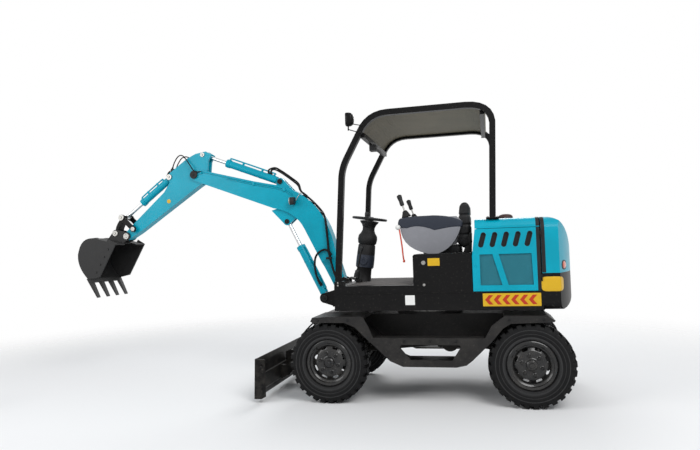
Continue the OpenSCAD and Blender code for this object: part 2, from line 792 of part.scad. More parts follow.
// Slots and mesh windows of a side door, as a side view
module door_cuts() {
    slot_n = 5;
    slot_pitch = 103;
    window_low = skirt_z + 58;
    window_top = skirt_z + 342;
    for (i = [0:slot_n - 1]) let (x = bay_front - 85 - i * slot_pitch)
        polygon(capsule([x, skirt_z + 430], [x - 26, skirt_z + 522], 18));
    polygon([[bay_front - 70, window_low], [bay_front - 70, window_top], [bay_front - 185, window_top],
        [bay_front - 265, window_low]]);
    polygon([[bay_front - 242, window_top], [bay_rear + 88, window_top], [bay_rear + 78, window_low],
        [bay_front - 320, window_low]]);
}

// Mesh sheet behind the door's openings
module door_mesh() {
    polygon([[bay_front - 60, skirt_z + 48], [bay_front - 60, skirt_z + 560], [bay_rear + 68, skirt_z + 560],
        [bay_rear + 68, skirt_z + 48]]);
}

// Hinged door on the left side of the engine
module engine_door() {
    color(teal) on_machine() {
        side_plate(half_w - door_t, half_w) difference() {
            polygon(door_outline());
            door_cuts();
        }
        side_plate(half_w - door_t, half_w - door_t + 6) door_mesh();
        hinge_halves(1, 30 + run_gap);
    }
}

// Fixed panel on the right side of the engine
module side_panel() {
    color(teal) on_machine() {
        side_plate(-half_w, -half_w + door_t) difference() {
            polygon(door_outline());
            door_cuts();
        }
        side_plate(-half_w + door_t - 6, -half_w + door_t) door_mesh();
    }
}

module engine_block() {
    color(grey) on_machine() translate([bay_rear + 88, -engine[1] / 2, skirt_z])
        cube(engine);
}

// Low exhaust outlet on the engine cover
module exhaust_cap() {
    color(black) on_machine() translate([-800, 200, crown_z]) {
        cylinder(d = 150, h = 10);
        cylinder(d = 96, h = 34);
    }
}

// Boxes on both sides of the seat, and the seat's plinth between them
module side_boxes() {
    front = 80;
    rear = bay_front + 4;
    color(black) on_machine() {
        for (side = [-1, 1]) mirrored(side)
            side_plate(260, half_w)
                polygon([[front, skirt_z], [front, box_z - 14], [front - 14, box_z], [rear, box_z],
                    [rear, skirt_z]]);
        side_plate(-260 + panel_gap, 260 - panel_gap)
            polygon([[front - 30, skirt_z], [front - 30, box_z - 60], [front - 60, box_z - 40],
                [rear, box_z - 40], [rear, skirt_z]]);
    }
}

module seat() {
    seat_z = box_z - 40;
    color(black) on_machine() {
        side_plate(-seat_w / 2, seat_w / 2)
            round_rect([-380, seat_z], [-380 + cushion_l, seat_z + 130], 40);
        side_plate(-seat_w / 2, seat_w / 2)
            polygon([[-382, seat_z + 60], [-300, seat_z + 130], [-356, box_z + 510], [-400, box_z + 530],
                [-450, box_z + 510], [-455, seat_z + 120]]);
    }
}

// Side view of a console's shell
module console_side() {
    polygon(concat([[240, console_z - 28], [226, console_z], [-330, console_z], [-368, console_z - 35]],
        bend([-362, console_z - 120], [-300, box_z + 50], [-140, box_z]),
        bend([-40, box_z], [190, box_z + 50], [222, console_z - 140])));
}

module consoles() {
    color(grey) on_machine() both_sides(290, 420) console_side();
}

// Steering column, joysticks, travel levers, pedals and the safety lever
module controls() {
    color(black) on_machine() {
        translate([column_foot[0], 0, column_foot[1]]) cylinder(d = 190, h = 30);
        on_column(0) rotate_extrude()
            polygon([[0, 14], [80, 14], [70, 40], [56, 120], [56, 230], [76, 280], [76, 340], [58, 390],
                [66, 520], [100, 560], [104, 600], [60, 640], [24, 650], [24, column_h], [0, column_h]]);
        for (side = [-1, 1]) {
            translate([170, side * 355, console_z + run_gap]) cylinder(d1 = 90, d2 = 50, h = 50);
            translate([170, side * 355, console_z + 20]) rotate([0, 18, 0]) {
                cylinder(d = 20, h = 130);
                translate([0, 0, 120]) cylinder(d1 = 38, d2 = 46, h = 100);
            }
        }
        // Travel pedals with their levers
        for (y = [-170, 170]) {
            translate([690, y - 50, floor_z + 30]) rotate([0, -20, 0]) cube([130, 100, 10]);
            translate([742, y, floor_z]) cylinder(d = 30, h = 60);
            translate([750, y, floor_z + 40]) rotate([0, -12, 0]) cylinder(d = 20, h = 330);
        }
    }
}

// Places a shape drawn round +Z on the leaning steering column
module on_column(h) {
    translate([column_foot[0], 0, column_foot[1]]) rotate([0, -column_tilt, 0])
        translate([0, 0, h]) children();
}

module steering_wheel() {
    color(black) on_machine() on_column(column_h + run_gap) {
        rotate_extrude($fn = 64) translate([wheel_d / 2 - wheel_rim / 2, 14])
            circle(d = wheel_rim, $fn = 24);
        cylinder(d = 90, h = 28);
        for (a = [0, 120, 240]) rotate(a) translate([30, -14, 8])
            cube([wheel_d / 2 - wheel_rim - 20, 28, 10]);
        translate([0, wheel_d / 2 - wheel_rim / 2, 20]) cylinder(d = 40, h = 60);
    }
}

// Side view of a canopy tube's middle line, from the front foot to the rear foot
function canopy_path() = concat([[front_x - 38, post_foot_z + 0.04 * tube_t]],
    bend([front_x - 104, floor_z + 1070], [front_x - 114, floor_z + 1160],
        [front_x - 158, floor_z + 1242], 4),
    bend([560, canopy_z - 210], [474, canopy_z - tube_t / 2 - 6], [280, canopy_z - tube_t / 2 - 4], 6),
    bend([-460, canopy_z - tube_t / 2], [-690, canopy_z - tube_t / 2], [-704, canopy_z - 200], 6),
    [[-672, crown_z + 12]]);

// Tubular canopy frame with its cross tubes
module canopy_frame() {
    w = canopy_w / 2;
    color(black) on_machine() {
        both_sides(w - tube_t, w) polygon(strip(canopy_path(), -tube_t / 2, tube_t / 2));
        // Cross tubes under the roof's ends, as [point of the path, shift along x]
        for (c = [[6, -44], [16, 0]]) let (p = canopy_path()[c[0]])
            translate([p[0] + c[1], -w + tube_t - 1, p[1] - 46]) cube([44, 2 * (w - tube_t) + 2, 44]);
        // Foot plates on the engine cover
        for (side = [-1, 1])
            translate([-672 - 60, side * (w - tube_t / 2 - 30) - 55, crown_z]) cube([120, 110, 12]);
    }
}

module canopy_roof() {
    p = canopy_path();
    middle = [for (i = [6:16]) p[i]];
    color("#8d8a72") on_machine()
        side_plate(-canopy_w / 2 + tube_t, canopy_w / 2 - tube_t)
            polygon(strip(middle, -roof_t, -run_gap));
}

// Mirror on its bent bracket at the left front post
module side_mirror() {
    post = canopy_path()[7];
    stem = [post[0] + 76, canopy_w / 2 + 14];
    color(black) on_machine() {
        // Plates on the post's outer face, with the wires to the stem
        for (z = [post[1] - 36, post[1] + 6]) {
            translate([post[0] - 12, canopy_w / 2, z - 12]) cube([24, 5, 24]);
            bar([post[0], canopy_w / 2 + 5, z], [stem[0], stem[1], z + 8], 9);
        }
        translate([stem[0], stem[1], post[1] - 44]) cylinder(d = 13, h = 80);
        translate([stem[0] - 8, stem[1] - 24, post[1] - 8]) rotate([0, 0, 20]) cube([24, 95, 132]);
    }
}

module work_lamp() {
    p = canopy_path()[6];
    color(black) on_machine() translate([p[0] - 74, 150, p[1] - 46 - run_gap - 66]) cube([66, 90, 66]);
}

// Back edge of the boom, from the foot to the arm
function boom_back() = concat(
    bend(boom_foot + [48, 380], boom_foot + [156, 1020], boom_foot + [715, 1149], 12),
    [boom_foot + [980, 1206], arm_pivot + [-40, 62]]);
// Belly edge of the boom, from the arm back to the foot
function boom_belly() = concat([arm_pivot + [20, -62]],
    bend(boom_foot + [752, 890], boom_foot + [500, 850], boom_foot + [400, 650], 8));

// One-piece box boom with a fork for the arm and lugs for the cylinders
module boom() {
    ear_in = arm_w / 2 + run_gap;
    color(teal) on_machine() {
        difference() {
            union() {
                side_plate(-boom_w / 2, boom_w / 2)
                    polygon(concat(arc(boom_foot, 64, 330, 150, 8), boom_back(),
                        arc(arm_pivot, 62, 100, -100, 8), boom_belly()));
                // Lugs for the arm's cylinder, on the back
                both_sides(30 + run_gap, 30 + ear_t)
                    polygon(concat([arm_cyl_foot + [-150, -100]], arc(arm_cyl_foot, 42, 150, -10, 8),
                        [arm_cyl_foot + [46, -44], arm_cyl_foot + [150, -60]]));
                // Lugs for the boom's own cylinder, under the bend
                both_sides(28 + run_gap, 28 + ear_t)
                    polygon(concat([boom_eye + [180, 130]], arc(boom_eye, 42, 330, 210, 6),
                        [boom_eye + [-130, 60], boom_eye + [-60, 200]]));
            }
            // Sides drawn in to the width of the foot, clear of the bracket's ears
            for (side = [-1, 1]) mirrored(side)
                on_axle(boom_foot, foot_w / 2 - run_gap) cylinder(r1 = 290, r2 = 350, h = 16);
            // Slot that takes the arm's root
            side_plate(-ear_in, ear_in) translate(arm_pivot) circle(r = fork_r);
            cross_bar(boom_foot, foot_pin_d + 2 * run_gap, -boom_w, boom_w);
        }
        cross_bar(arm_pivot, arm_pin_d, -boom_w / 2 - 12, boom_w / 2 + 12);
        cross_bar(arm_cyl_foot, 40, -30 - ear_t - 8, 30 + ear_t + 8);
    }
}

// Round work lamp on the boom's left side
module boom_lamp() {
    color(black) on_machine() translate([boom_foot[0] + 510, boom_w / 2 + run_gap, boom_foot[1] + 957]) {
        translate([0, 52, 0]) rotate([0, 90, 0]) cylinder(d = 84, h = 50, center = true);
        translate([-14, 0, -12]) cube([28, 20, 24]);
    }
}

// Arm's outline along and across its axis, as [s, t]
function arm_outline() = concat(
    [[-272, 128], [-158, 189], [-46, 216], [73, 222], [210, 227]],
    arc([266, 193], 38, 110, -30, 6), [[302, 142], [430, 98], [arm_len - 135, 58]],
    arc([arm_len, 0], 43, 80, -80, 8), [[arm_len - 142, -66]],
    [[60, -128]], [[-10, -136], [-96, -100], [-150, -62], [-225, 19], [-300, 52]]);

module arm() {
    color(teal) on_machine() {
        difference() {
            side_plate(-arm_w / 2, arm_w / 2) polygon([for (p = arm_outline()) on_arm(p[0], p[1])]);
            cross_bar(arm_pivot, arm_pin_d + 2 * run_gap, -boom_w, boom_w);
            // Slot for the arm's rod and its eye, down to the tube round the pivot
            side_plate(-25 - run_gap, 25 + run_gap)
                polygon([for (p = [[-400, -300], [-74, -300], [-74, 60], [0, 150], [40, 230], [40, 420],
                    [-400, 420]]) arm_pivot + p]);
            // Slot for the foot of the bucket's cylinder
            side_plate(-30 - run_gap, 30 + run_gap)
                polygon([for (p = [[206, 300], [206, 140], [560, 90], [560, 300]]) on_arm(p[0], p[1])]);
        }
        // Pins at the arm's end, as [place, reach from the centre plane]
        for (p = [[bucket_pivot, arm_w / 2 + ear_t + 6], [guide_pivot, link_in + link_t + 8]])
            cross_bar(p[0], link_pin_d, -p[1], p[1]);
        // Spacers that carry the guide links outside the bucket's ears
        both_sides(arm_w / 2, link_in - run_gap) translate(guide_pivot) circle(d = 56);
        cross_bar(bucket_cyl_foot, 36, -arm_w / 2 - 6, arm_w / 2 + 6);
    }
}

// Pair of links from the arm to the rod's eye, with the stub pins of the bucket link
module guide_links() {
    y0 = link_in;
    color(black) on_machine() for (side = [-1, 1]) mirrored(side) {
        on_axle(link_top, arm_w / 2 + run_gap) cylinder(d = 52, h = y0 - arm_w / 2);
        side_plate(y0, y0 + link_t) difference() {
            union() {
                translate(guide_pivot) circle(d = 72);
                translate(link_top) circle(d = 72);
                polygon(strip([guide_pivot, link_top], -28, 28));
            }
            translate(guide_pivot) circle(d = link_pin_d + 2 * run_gap);
        }
        cross_bar(link_top, link_pin_d, 34, y0 + link_t + 8);
    }
}

// Link from the rod's eye to the bucket
module bucket_link() {
    // Middle line, bowed away from the arm's end
    bow = bend(link_low, (link_low + link_top) / 2 + [42, 24], link_top, 6);
    color(black) on_machine() {
        difference() {
            union() {
                side_plate(-arm_w / 2, arm_w / 2) {
                    translate(link_low) circle(d = 66);
                    polygon(strip([for (i = [0:4]) bow[i]], -18, 20));
                }
                both_sides(31, arm_w / 2) {
                    translate(link_top) circle(d = 60);
                    polygon(strip(bow, -18, 20));
                }
            }
            cross_bar(link_top, link_pin_d + 2 * run_gap, -boom_w, boom_w);
        }
    }
}

// Bucket's wrapper, from the mouth's upper edge round to the lip, as [x, z] from its pivot
function wrapper() = concat([[-8, -92], [225, -28]], bend([250, -20], [436, 14], [480, -160], 7),
    bend([490, -200], [504, -350], bucket_lip, 7));
bucket_lip = [350, -500];
// Lower end of the mouth's side edge
bucket_chin = [206, -470];

// Bucket with side plates, ears, lip, side cutters and teeth
module bucket() {
    ear_y = arm_w / 2 + run_gap;
    tooth_tilt = 28;
    tooth_l = 232;
    along = [-sin(tooth_tilt), -cos(tooth_tilt)];
    across = turn_left(along);
    color(black) on_machine() translate([bucket_pivot[0], 0, bucket_pivot[1]]) {
        difference() {
            side_plate(-bucket_w / 2 + bucket_t, bucket_w / 2 - bucket_t)
                polygon(strip(wrapper(), -bucket_t, 0));
            // Relief for the arm's end and the guide links when the bucket curls
            side_plate(-link_in - link_t - 14, link_in + link_t + 14)
                translate([-40, -140]) square([104, 200]);
        }
        both_sides(bucket_w / 2 - bucket_t, bucket_w / 2)
            polygon(concat(wrapper(), [bucket_lip, bucket_chin]));
        // Side cutters along the mouth
        both_sides(bucket_w / 2, bucket_w / 2 + 10)
            polygon([[-8, -92], [86, -34], bucket_lip + [6, 10], bucket_chin]);
        // Ears
        difference() {
            both_sides(ear_y, ear_y + ear_t)
                polygon(concat(arc([0, 0], 48, 250, 110, 6), arc([143, 38], 44, 100, 10, 5),
                    [[246, -26], [66, -80]]));
            cross_bar([0, 0], link_pin_d + 2 * run_gap, -boom_w, boom_w);
        }
        // Lip plate and teeth
        side_plate(-bucket_w / 2, bucket_w / 2)
            polygon(strip([bucket_lip + [24, 22], bucket_lip, bucket_lip + 40 * along], -20, 0));
        for (i = [0:tooth_n - 1])
            translate([0, (i / (tooth_n - 1) - 0.5) * (bucket_w - tooth_w - 6), 0])
                side_plate(-tooth_w / 2, tooth_w / 2)
                    polygon([for (p = [[-24, -2], [0, -16], [60, -20], [tooth_l, -8], [tooth_l, 4],
                        [60, 16], [-24, 22]]) bucket_lip + p[0] * along + p[1] * across]);
    }
}

chassis_frame();
side_frames();
slew_ring();
front_axle();
rear_axle();
knuckle_left();
knuckle_right();
tie_rod();
tyre_front_left();
tyre_front_right();
tyre_rear_left();
tyre_rear_right();
rim_front_left();
rim_front_right();
rim_rear_left();
rim_rear_right();
blade();
blade_barrel();
blade_rod();
upper_frame();
boom_bracket();
counterweight();
rear_hood();
engine_bay();
engine_cover();
engine_door();
side_panel();
engine_block();
exhaust_cap();
side_boxes();
seat();
consoles();
controls();
steering_wheel();
canopy_frame();
canopy_roof();
side_mirror();
work_lamp();
boom();
boom_lamp();
boom_barrel();
boom_rod();
arm();
arm_barrel();
arm_rod();
bucket_barrel();
bucket_rod();
guide_links();
bucket_link();
bucket();
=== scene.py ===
# Looks of the wheeled excavator: camera, studio, materials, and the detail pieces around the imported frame.
import json
from math import atan2, copysign, cos, degrees, exp, pi, radians, sin, tan, tau

import bpy
import bmesh
from mathutils import Matrix, Vector
from mathutils.bvhtree import BVHTree


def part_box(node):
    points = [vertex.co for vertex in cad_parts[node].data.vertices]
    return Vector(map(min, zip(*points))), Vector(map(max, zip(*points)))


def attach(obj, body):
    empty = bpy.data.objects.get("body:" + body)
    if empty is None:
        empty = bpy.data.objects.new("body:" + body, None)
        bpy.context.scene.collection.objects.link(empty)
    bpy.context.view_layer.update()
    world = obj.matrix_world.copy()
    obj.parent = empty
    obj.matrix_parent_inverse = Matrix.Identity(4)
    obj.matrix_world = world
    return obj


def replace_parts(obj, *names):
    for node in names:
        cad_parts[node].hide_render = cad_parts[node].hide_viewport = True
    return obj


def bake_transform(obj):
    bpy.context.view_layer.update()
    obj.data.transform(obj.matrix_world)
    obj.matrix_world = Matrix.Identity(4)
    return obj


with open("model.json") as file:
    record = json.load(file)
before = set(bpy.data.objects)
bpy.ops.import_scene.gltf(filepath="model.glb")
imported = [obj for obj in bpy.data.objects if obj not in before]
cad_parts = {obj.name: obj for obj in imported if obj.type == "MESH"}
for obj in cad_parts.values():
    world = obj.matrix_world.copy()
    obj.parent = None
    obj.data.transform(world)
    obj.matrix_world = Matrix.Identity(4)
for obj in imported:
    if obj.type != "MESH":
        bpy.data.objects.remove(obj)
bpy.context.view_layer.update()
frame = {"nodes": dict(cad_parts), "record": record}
scene = bpy.context.scene
# Where the slewing axis lies along the frame's X, in metres
SLEW_X = -1.33


def add_object(name, data):
    obj = bpy.data.objects.new(name, data)
    scene.collection.objects.link(obj)
    return obj


def smooth(mesh, angle):
    """Shades the mesh smooth. Faces that meet at more than the angle in degrees keep a sharp edge."""
    mesh.polygons.foreach_set("use_smooth", [True] * len(mesh.polygons))
    mesh.set_sharp_from_angle(angle=radians(angle))


# Camera: fitted to the photograph with the vanishing points along and across the machine, in pixels
IMAGE_WIDTH = 700
FOCAL = 590.0
# A small turn of the machine's long axis against its vanishing point, in radians
LEAN = 0.0155
cam_fwd = Vector((-2642, 65.6, 620))
cam_side = Vector((146, 20, 620)).normalized()
cam_fwd = (cam_fwd - cam_fwd.dot(cam_side) * cam_side).normalized()
cam_up = cam_fwd.cross(-cam_side)
world_x = (cam_fwd - LEAN * cam_up).normalized()
world_y = -cam_side
world_z = world_x.cross(world_y)
cam = add_object("camera", bpy.data.cameras.new("camera"))
scene.camera = cam
cam.data.sensor_width = 36
cam.data.lens = FOCAL / IMAGE_WIDTH * cam.data.sensor_width
cam.data.clip_end = 100
turn = Matrix([(w.x, -w.y, -w.z) for w in (world_x, world_y, world_z)]).to_4x4()
cam.matrix_world = Matrix.Translation((SLEW_X - 0.629, 6.279, 1.4963)) @ turn


# Node helpers
class Nodes:
    """The node tree of a material or a world, with short calls."""

    def __init__(self, owner):
        owner.use_nodes = True
        self.owner, self.tree = owner, owner.node_tree

    def add(self, kind, **values):
        """A shader node. Values with a capital go to its inputs, and the others are its settings."""
        node = self.tree.nodes.new("ShaderNode" + kind)
        for key, value in values.items():
            if key[0].isupper():
                self.feed(value, node.inputs[key.replace("_", " ")])
            else:
                setattr(node, key, value)
        return node

    def link(self, a, b):
        self.tree.links.new(a, b)

    def noise(self, scale, detail=4.0, rough=0.55, stretch=None):
        source = self.coord
        if stretch:
            source = self.add("Mapping", Vector=source, Scale=stretch).outputs["Vector"]
        node = self.add("TexNoise", Vector=source, Scale=scale, Detail=detail, Roughness=rough)
        return node.outputs["Fac"]

    def ramp(self, source, stops):
        node = self.add("ValToRGB")
        ramp = node.color_ramp
        while len(ramp.elements) < len(stops):
            ramp.elements.new(0.5)
        for element, (at, value) in zip(ramp.elements, stops):
            element.position = at
            element.color = (value, value, value, 1)
        self.link(source, node.inputs["Fac"])
        return node.outputs["Color"]

    def feed(self, value, socket):
        """Links an output to the socket, or sets a number or a colour on it."""
        if isinstance(value, bpy.types.NodeSocket):
            self.link(value, socket)
        elif isinstance(value, tuple):
            socket.default_value = (*value, 1)
        else:
            socket.default_value = value

    def mix(self, factor, a, b):
        node = self.add("Mix", data_type="RGBA")
        for value, i in ((factor, 0), (a, 6), (b, 7)):
            self.feed(value, node.inputs[i])
        return node.outputs[2]

    def math(self, operation, a, b):
        node = self.add("Math", operation=operation)
        self.feed(a, node.inputs[0])
        self.feed(b, node.inputs[1])
        return node.outputs[0]

    def vary(self, source, share, base):
        """The base value plus a share of the source."""
        return self.math("ADD", self.math("MULTIPLY", source, share), base)

    def blend(self, factor, one, two, output):
        """Sends a mix of two shaders to the named output."""
        node = self.add("MixShader")
        for source, socket in zip((factor, one.outputs[0], two.outputs[0]), node.inputs):
            self.link(source, socket)
        self.link(node.outputs[0], self.tree.nodes[output].inputs["Surface"])

    def height(self):
        """Height over the ground, in metres."""
        node = self.add("SeparateXYZ")
        self.link(self.coord, node.inputs[0])
        return node.outputs["Z"]

    def bump(self, source, strength, distance):
        node = self.add("Bump", Strength=strength, Distance=distance, Height=source)
        self.link(node.outputs["Normal"], self.bsdf.inputs["Normal"])

    def put(self, **values):
        for key, value in values.items():
            self.feed(value, self.bsdf.inputs[key.replace("_", " ")])
        return self.owner


def new_material(name):
    n = Nodes(bpy.data.materials.new(name))
    n.bsdf = n.tree.nodes["Principled BSDF"]
    n.coord = n.add("TexCoord").outputs["Object"]
    return n


def shade(colour, share, lift=0):
    return tuple(min(1, c * share + lift) for c in colour)


DUST = (0.36, 0.33, 0.28)


def paint(name, colour, rough, coat, dust_amount=0.35, low=0.25, high=1.0, gloss=0.3, dust=DUST):
    """Paint with orange peel, faint colour drift, and road dust that gathers low down."""
    n = new_material(name)
    drift = n.noise(3.0, 3.0)
    fine = n.noise(60.0, 5.0)
    base = n.mix(n.ramp(drift, ((0.35, 0), (0.7, 1.0))), shade(colour, 0.9), shade(colour, 1.08))
    fall = n.add("MapRange", From_Min=high, From_Max=low, Value=n.height())
    patches = n.ramp(n.noise(9.0, 8.0, 0.65), ((0.42, 0), (0.68, 1.0)))
    amount = n.math("MULTIPLY", n.math("MULTIPLY", fall.outputs[0], dust_amount), patches)
    amount = n.math("ADD", amount, n.ramp(fine, ((0.6, 0), (0.72, 0.1))))
    n.bump(n.noise(420.0, 2.0), 0.08, 0.0004)
    n.put(Base_Color=n.mix(amount, base, dust))
    n.put(Roughness=n.vary(amount, 0.5, n.vary(fine, 0.08, rough - 0.04)))
    return n.put(Coat_Weight=coat, Coat_Roughness=0.08, Specular_IOR_Level=gloss)


# Every material, by the short name that the pieces use
M = {}
M["teal"] = paint("teal_paint", (0.0008, 0.315, 0.43), 0.3, 0.06, 0.1, gloss=0.14, dust=(0.08, 0.3, 0.35))
M["black"] = paint("black_paint", (0.0065, 0.0063, 0.0065), 0.36, 0.03, 0.08, gloss=0.08)
M["frame"] = paint("frame_paint", (0.017, 0.0162, 0.016), 0.4, 0, 0.07, gloss=0.16)
M["rim"] = paint("rim_black", (0.005, 0.005, 0.0055), 0.24, 0.25, 0.08, 0, 0.9, 0.35)
# Roof: its own grey paint, tinted khaki as a painted reflection of the ground below
M["roof_tint_reflection"] = paint("khaki_roof", (0.14, 0.119, 0.076), 0.6, 0, 0)
M["seam"] = paint("black_fitting", (0.008, 0.008, 0.0085), 0.45, 0, 0.05, gloss=0.2)
M["rust"] = paint("heat_tinted_cap", (0.05, 0.022, 0.02), 0.55, 0, 0.5, 1.0, 2.0, dust=(0.1, 0.05, 0.035))
M["lever_red"] = paint("red_lever", (0.62, 0.06, 0.02), 0.35, 0.4, 0.05)


def rubber(name, colour, dust=0.09, rough=0.6):
    n = new_material(name)
    dusty = n.ramp(n.noise(14.0, 8.0, 0.7), ((0.5, 0), (0.8, dust)))
    fine = n.noise(240.0, 6.0)
    n.bump(fine, 0.25, 0.0008)
    base = n.mix(dusty, colour, (0.13, 0.12, 0.105))
    return n.put(Base_Color=base, Roughness=n.vary(fine, 0.15, rough), Specular_IOR_Level=0.15)


M["tyre"] = rubber("tyre_rubber", (0.0052, 0.0052, 0.0056), 0.05, 0.52)
# The sidewall lines' rubber is lighter than the tyre's: a painted highlight on the moulded rings
M["tyre_line_highlight"] = rubber("tyre_lines_painted_highlight", (0.03, 0.03, 0.0305), 0.08, 0.34)
M["hose"] = rubber("hose_rubber", (0.007, 0.007, 0.0076), 0.1)


def metal(name, colour, rough, streak, dirt=0.15):
    n = new_material(name)
    lines = n.noise(streak, 6.0, 0.6, [1, 12, 1])
    grime = n.ramp(n.noise(11.0, 6.0), ((0.45, 0), (0.8, dirt)))
    base = n.mix(grime, colour, (0.1, 0.085, 0.07))
    n.bump(lines, 0.08, 0.0004)
    return n.put(Base_Color=base, Metallic=1.0, Roughness=n.vary(lines, 0.12, rough))


M["chrome"] = metal("chrome", (0.62, 0.63, 0.64), 0.08, 30, 0.05)
M["steel"] = metal("steel", (0.34, 0.34, 0.33), 0.32, 60)
M["bolt"] = metal("zinc_bolt", (0.36, 0.355, 0.34), 0.32, 80, 0.25)
M["iron"] = metal("cast_iron", (0.2, 0.2, 0.2), 0.55, 90, 0.4)
M["worn"] = metal("worn_steel", (0.16, 0.155, 0.15), 0.42, 70, 0.3)


def plastic(name, colour, rough, grain):
    n = new_material(name)
    fine = n.noise(grain, 3.0)
    wear = n.ramp(n.noise(16.0, 6.0), ((0.5, 0), (0.8, 0.12)))
    n.bump(fine, 0.3, 0.0005)
    base = n.mix(wear, colour, shade(colour, 1.8, 0.02))
    return n.put(Base_Color=base, Roughness=n.vary(fine, 0.12, rough), Specular_IOR_Level=0.3)


M["dark"] = plastic("dark_plastic", (0.011, 0.0112, 0.012), 0.45, 600)
M["liner"] = plastic("black_liner", (0.0045, 0.0045, 0.0048), 0.6, 500)
M["cap"] = plastic("console_top", (0.018, 0.023, 0.036), 0.45, 650)
M["mat"] = plastic("floor_rubber", (0.1, 0.092, 0.088), 0.7, 300)
M["grey"] = plastic("grey_plastic", (0.215, 0.218, 0.238), 0.42, 600)
M["leather"] = plastic("seat_cover", (0.011, 0.011, 0.012), 0.5, 350)
M["worn_black"] = plastic("scuffed_black", (0.015, 0.0148, 0.015), 0.5, 200)
M["sign_white"] = plastic("blank_sheet", (0.72, 0.72, 0.7), 0.35, 900)
M["sign_yellow"] = plastic("yellow_sheet", (0.6, 0.36, 0.012), 0.32, 900)
M["sign_red"] = plastic("red_sheet", (0.42, 0.03, 0.01), 0.32, 900)
# The window mesh and the sheet behind it are a darker teal than the paint: painted shade in the window
# recess
M["mesh_teal"] = plastic("mesh_wire_shaded", (0.028, 0.21, 0.27), 0.45, 900)
M["window_teal_shaded"] = plastic("window_sheet_shaded", (0.02, 0.185, 0.235), 0.5, 900)


def lens(name, colour, rough):
    """Moulded lamp glass: fine prisms in the bump under a clear coat."""
    n = new_material(name)
    ribs = n.noise(260.0, 1.0, 0.4, [1, 1, 6])
    n.bump(ribs, 0.5, 0.0012)
    tone = n.mix(n.ramp(ribs, ((0.4, 0), (0.6, 1.0))), shade(colour, 0.75), colour)
    return n.put(Base_Color=tone, Roughness=rough, Coat_Weight=0.8, Coat_Roughness=0.04)


M["lamp_red"] = lens("red_lens", (0.62, 0.11, 0.06), 0.25)
M["lens"] = lens("clear_lens", (0.72, 0.74, 0.76), 0.12)

SLOT_MATERIAL = {
    "teal_paint": "teal", "black_paint": "black", "tyre": "tyre", "rim_black": "rim", "chrome_rod": "chrome",
    "steel": "steel", "dark_plastic": "dark", "grey_plastic": "grey", "seat_cover": "leather",
    "khaki_roof": "roof_tint_reflection", "cast_iron": "iron",
}
SLOT_OF = {material: slot for slot, material in SLOT_MATERIAL.items()}
SLOT_OF.update(bolt="steel", hose="tyre", liner="dark_plastic", cap="dark_plastic")
SLOT_OF.update(mesh_teal="teal_paint", seam="black_paint")
# Nodes whose look differs from their slot's, and nodes that bend further before an edge is sharp
MATERIAL_OF = {"bucket": "worn_black", "side_frames": "frame", "chassis_frame": "frame"}
SHARP_ANGLE = {"rear_hood": 60, "counterweight": 60, "engine_cover": 50}
# What stands out past the engine door's sheet is dark
DOOR_FACE_Y = 0.7003
slots = {row["node"]: row["material_slot"] for row in frame["record"]["subparts"]}
for name, obj in frame["nodes"].items():
    material = M[MATERIAL_OF.get(name, SLOT_MATERIAL[slots[name]])]
    obj.data.materials.clear()
    obj.data.materials.append(material)
    obj.data.polygons.foreach_set("material_index", [0] * len(obj.data.polygons))
    smooth(obj.data, SHARP_ANGLE.get(name, 32))
door = frame["nodes"]["engine_door"].data
door.materials.append(M["liner"])
for face in door.polygons:
    if face.center.y > DOOR_FACE_Y:
        face.material_index = 1


SIDES = (("left", 1), ("right", -1))
OUT, UP, AHEAD = (0, 1, 0), (0, 0, 1), (1, 0, 0)
# The least radius of a turned form's end
POINT_R = 0.0004


# Mesh helpers. Places are written as in the CAD, with x from the slewing axis.
def here(x, y, z):
    return Vector((SLEW_X + x, y, z))


def facing(s, near, far):
    """The y values near and far from the centre plane on side s, the lower first."""
    return sorted((s * near, s * far))


def circle(centre, u, v, r, n):
    return [centre + (u * cos(a) + v * sin(a)) * r for a in (tau * i / n for i in range(n))]


def curve_through(points, steps):
    """A Catmull-Rom curve through the points."""
    pts = [Vector(p) for p in points]
    pts = [2 * pts[0] - pts[1]] + pts + [2 * pts[-1] - pts[-2]]
    out = []
    for i in range(1, len(pts) - 2):
        a, b, c, d = pts[i - 1 : i + 3]
        for k in range(steps):
            t = k / steps
            square, cube = 2 * a - 5 * b + 4 * c - d, 3 * b - a - 3 * c + d
            out.append(0.5 * (2 * b + (c - a) * t + square * t * t + cube * t**3))
    return out + [pts[-2]]


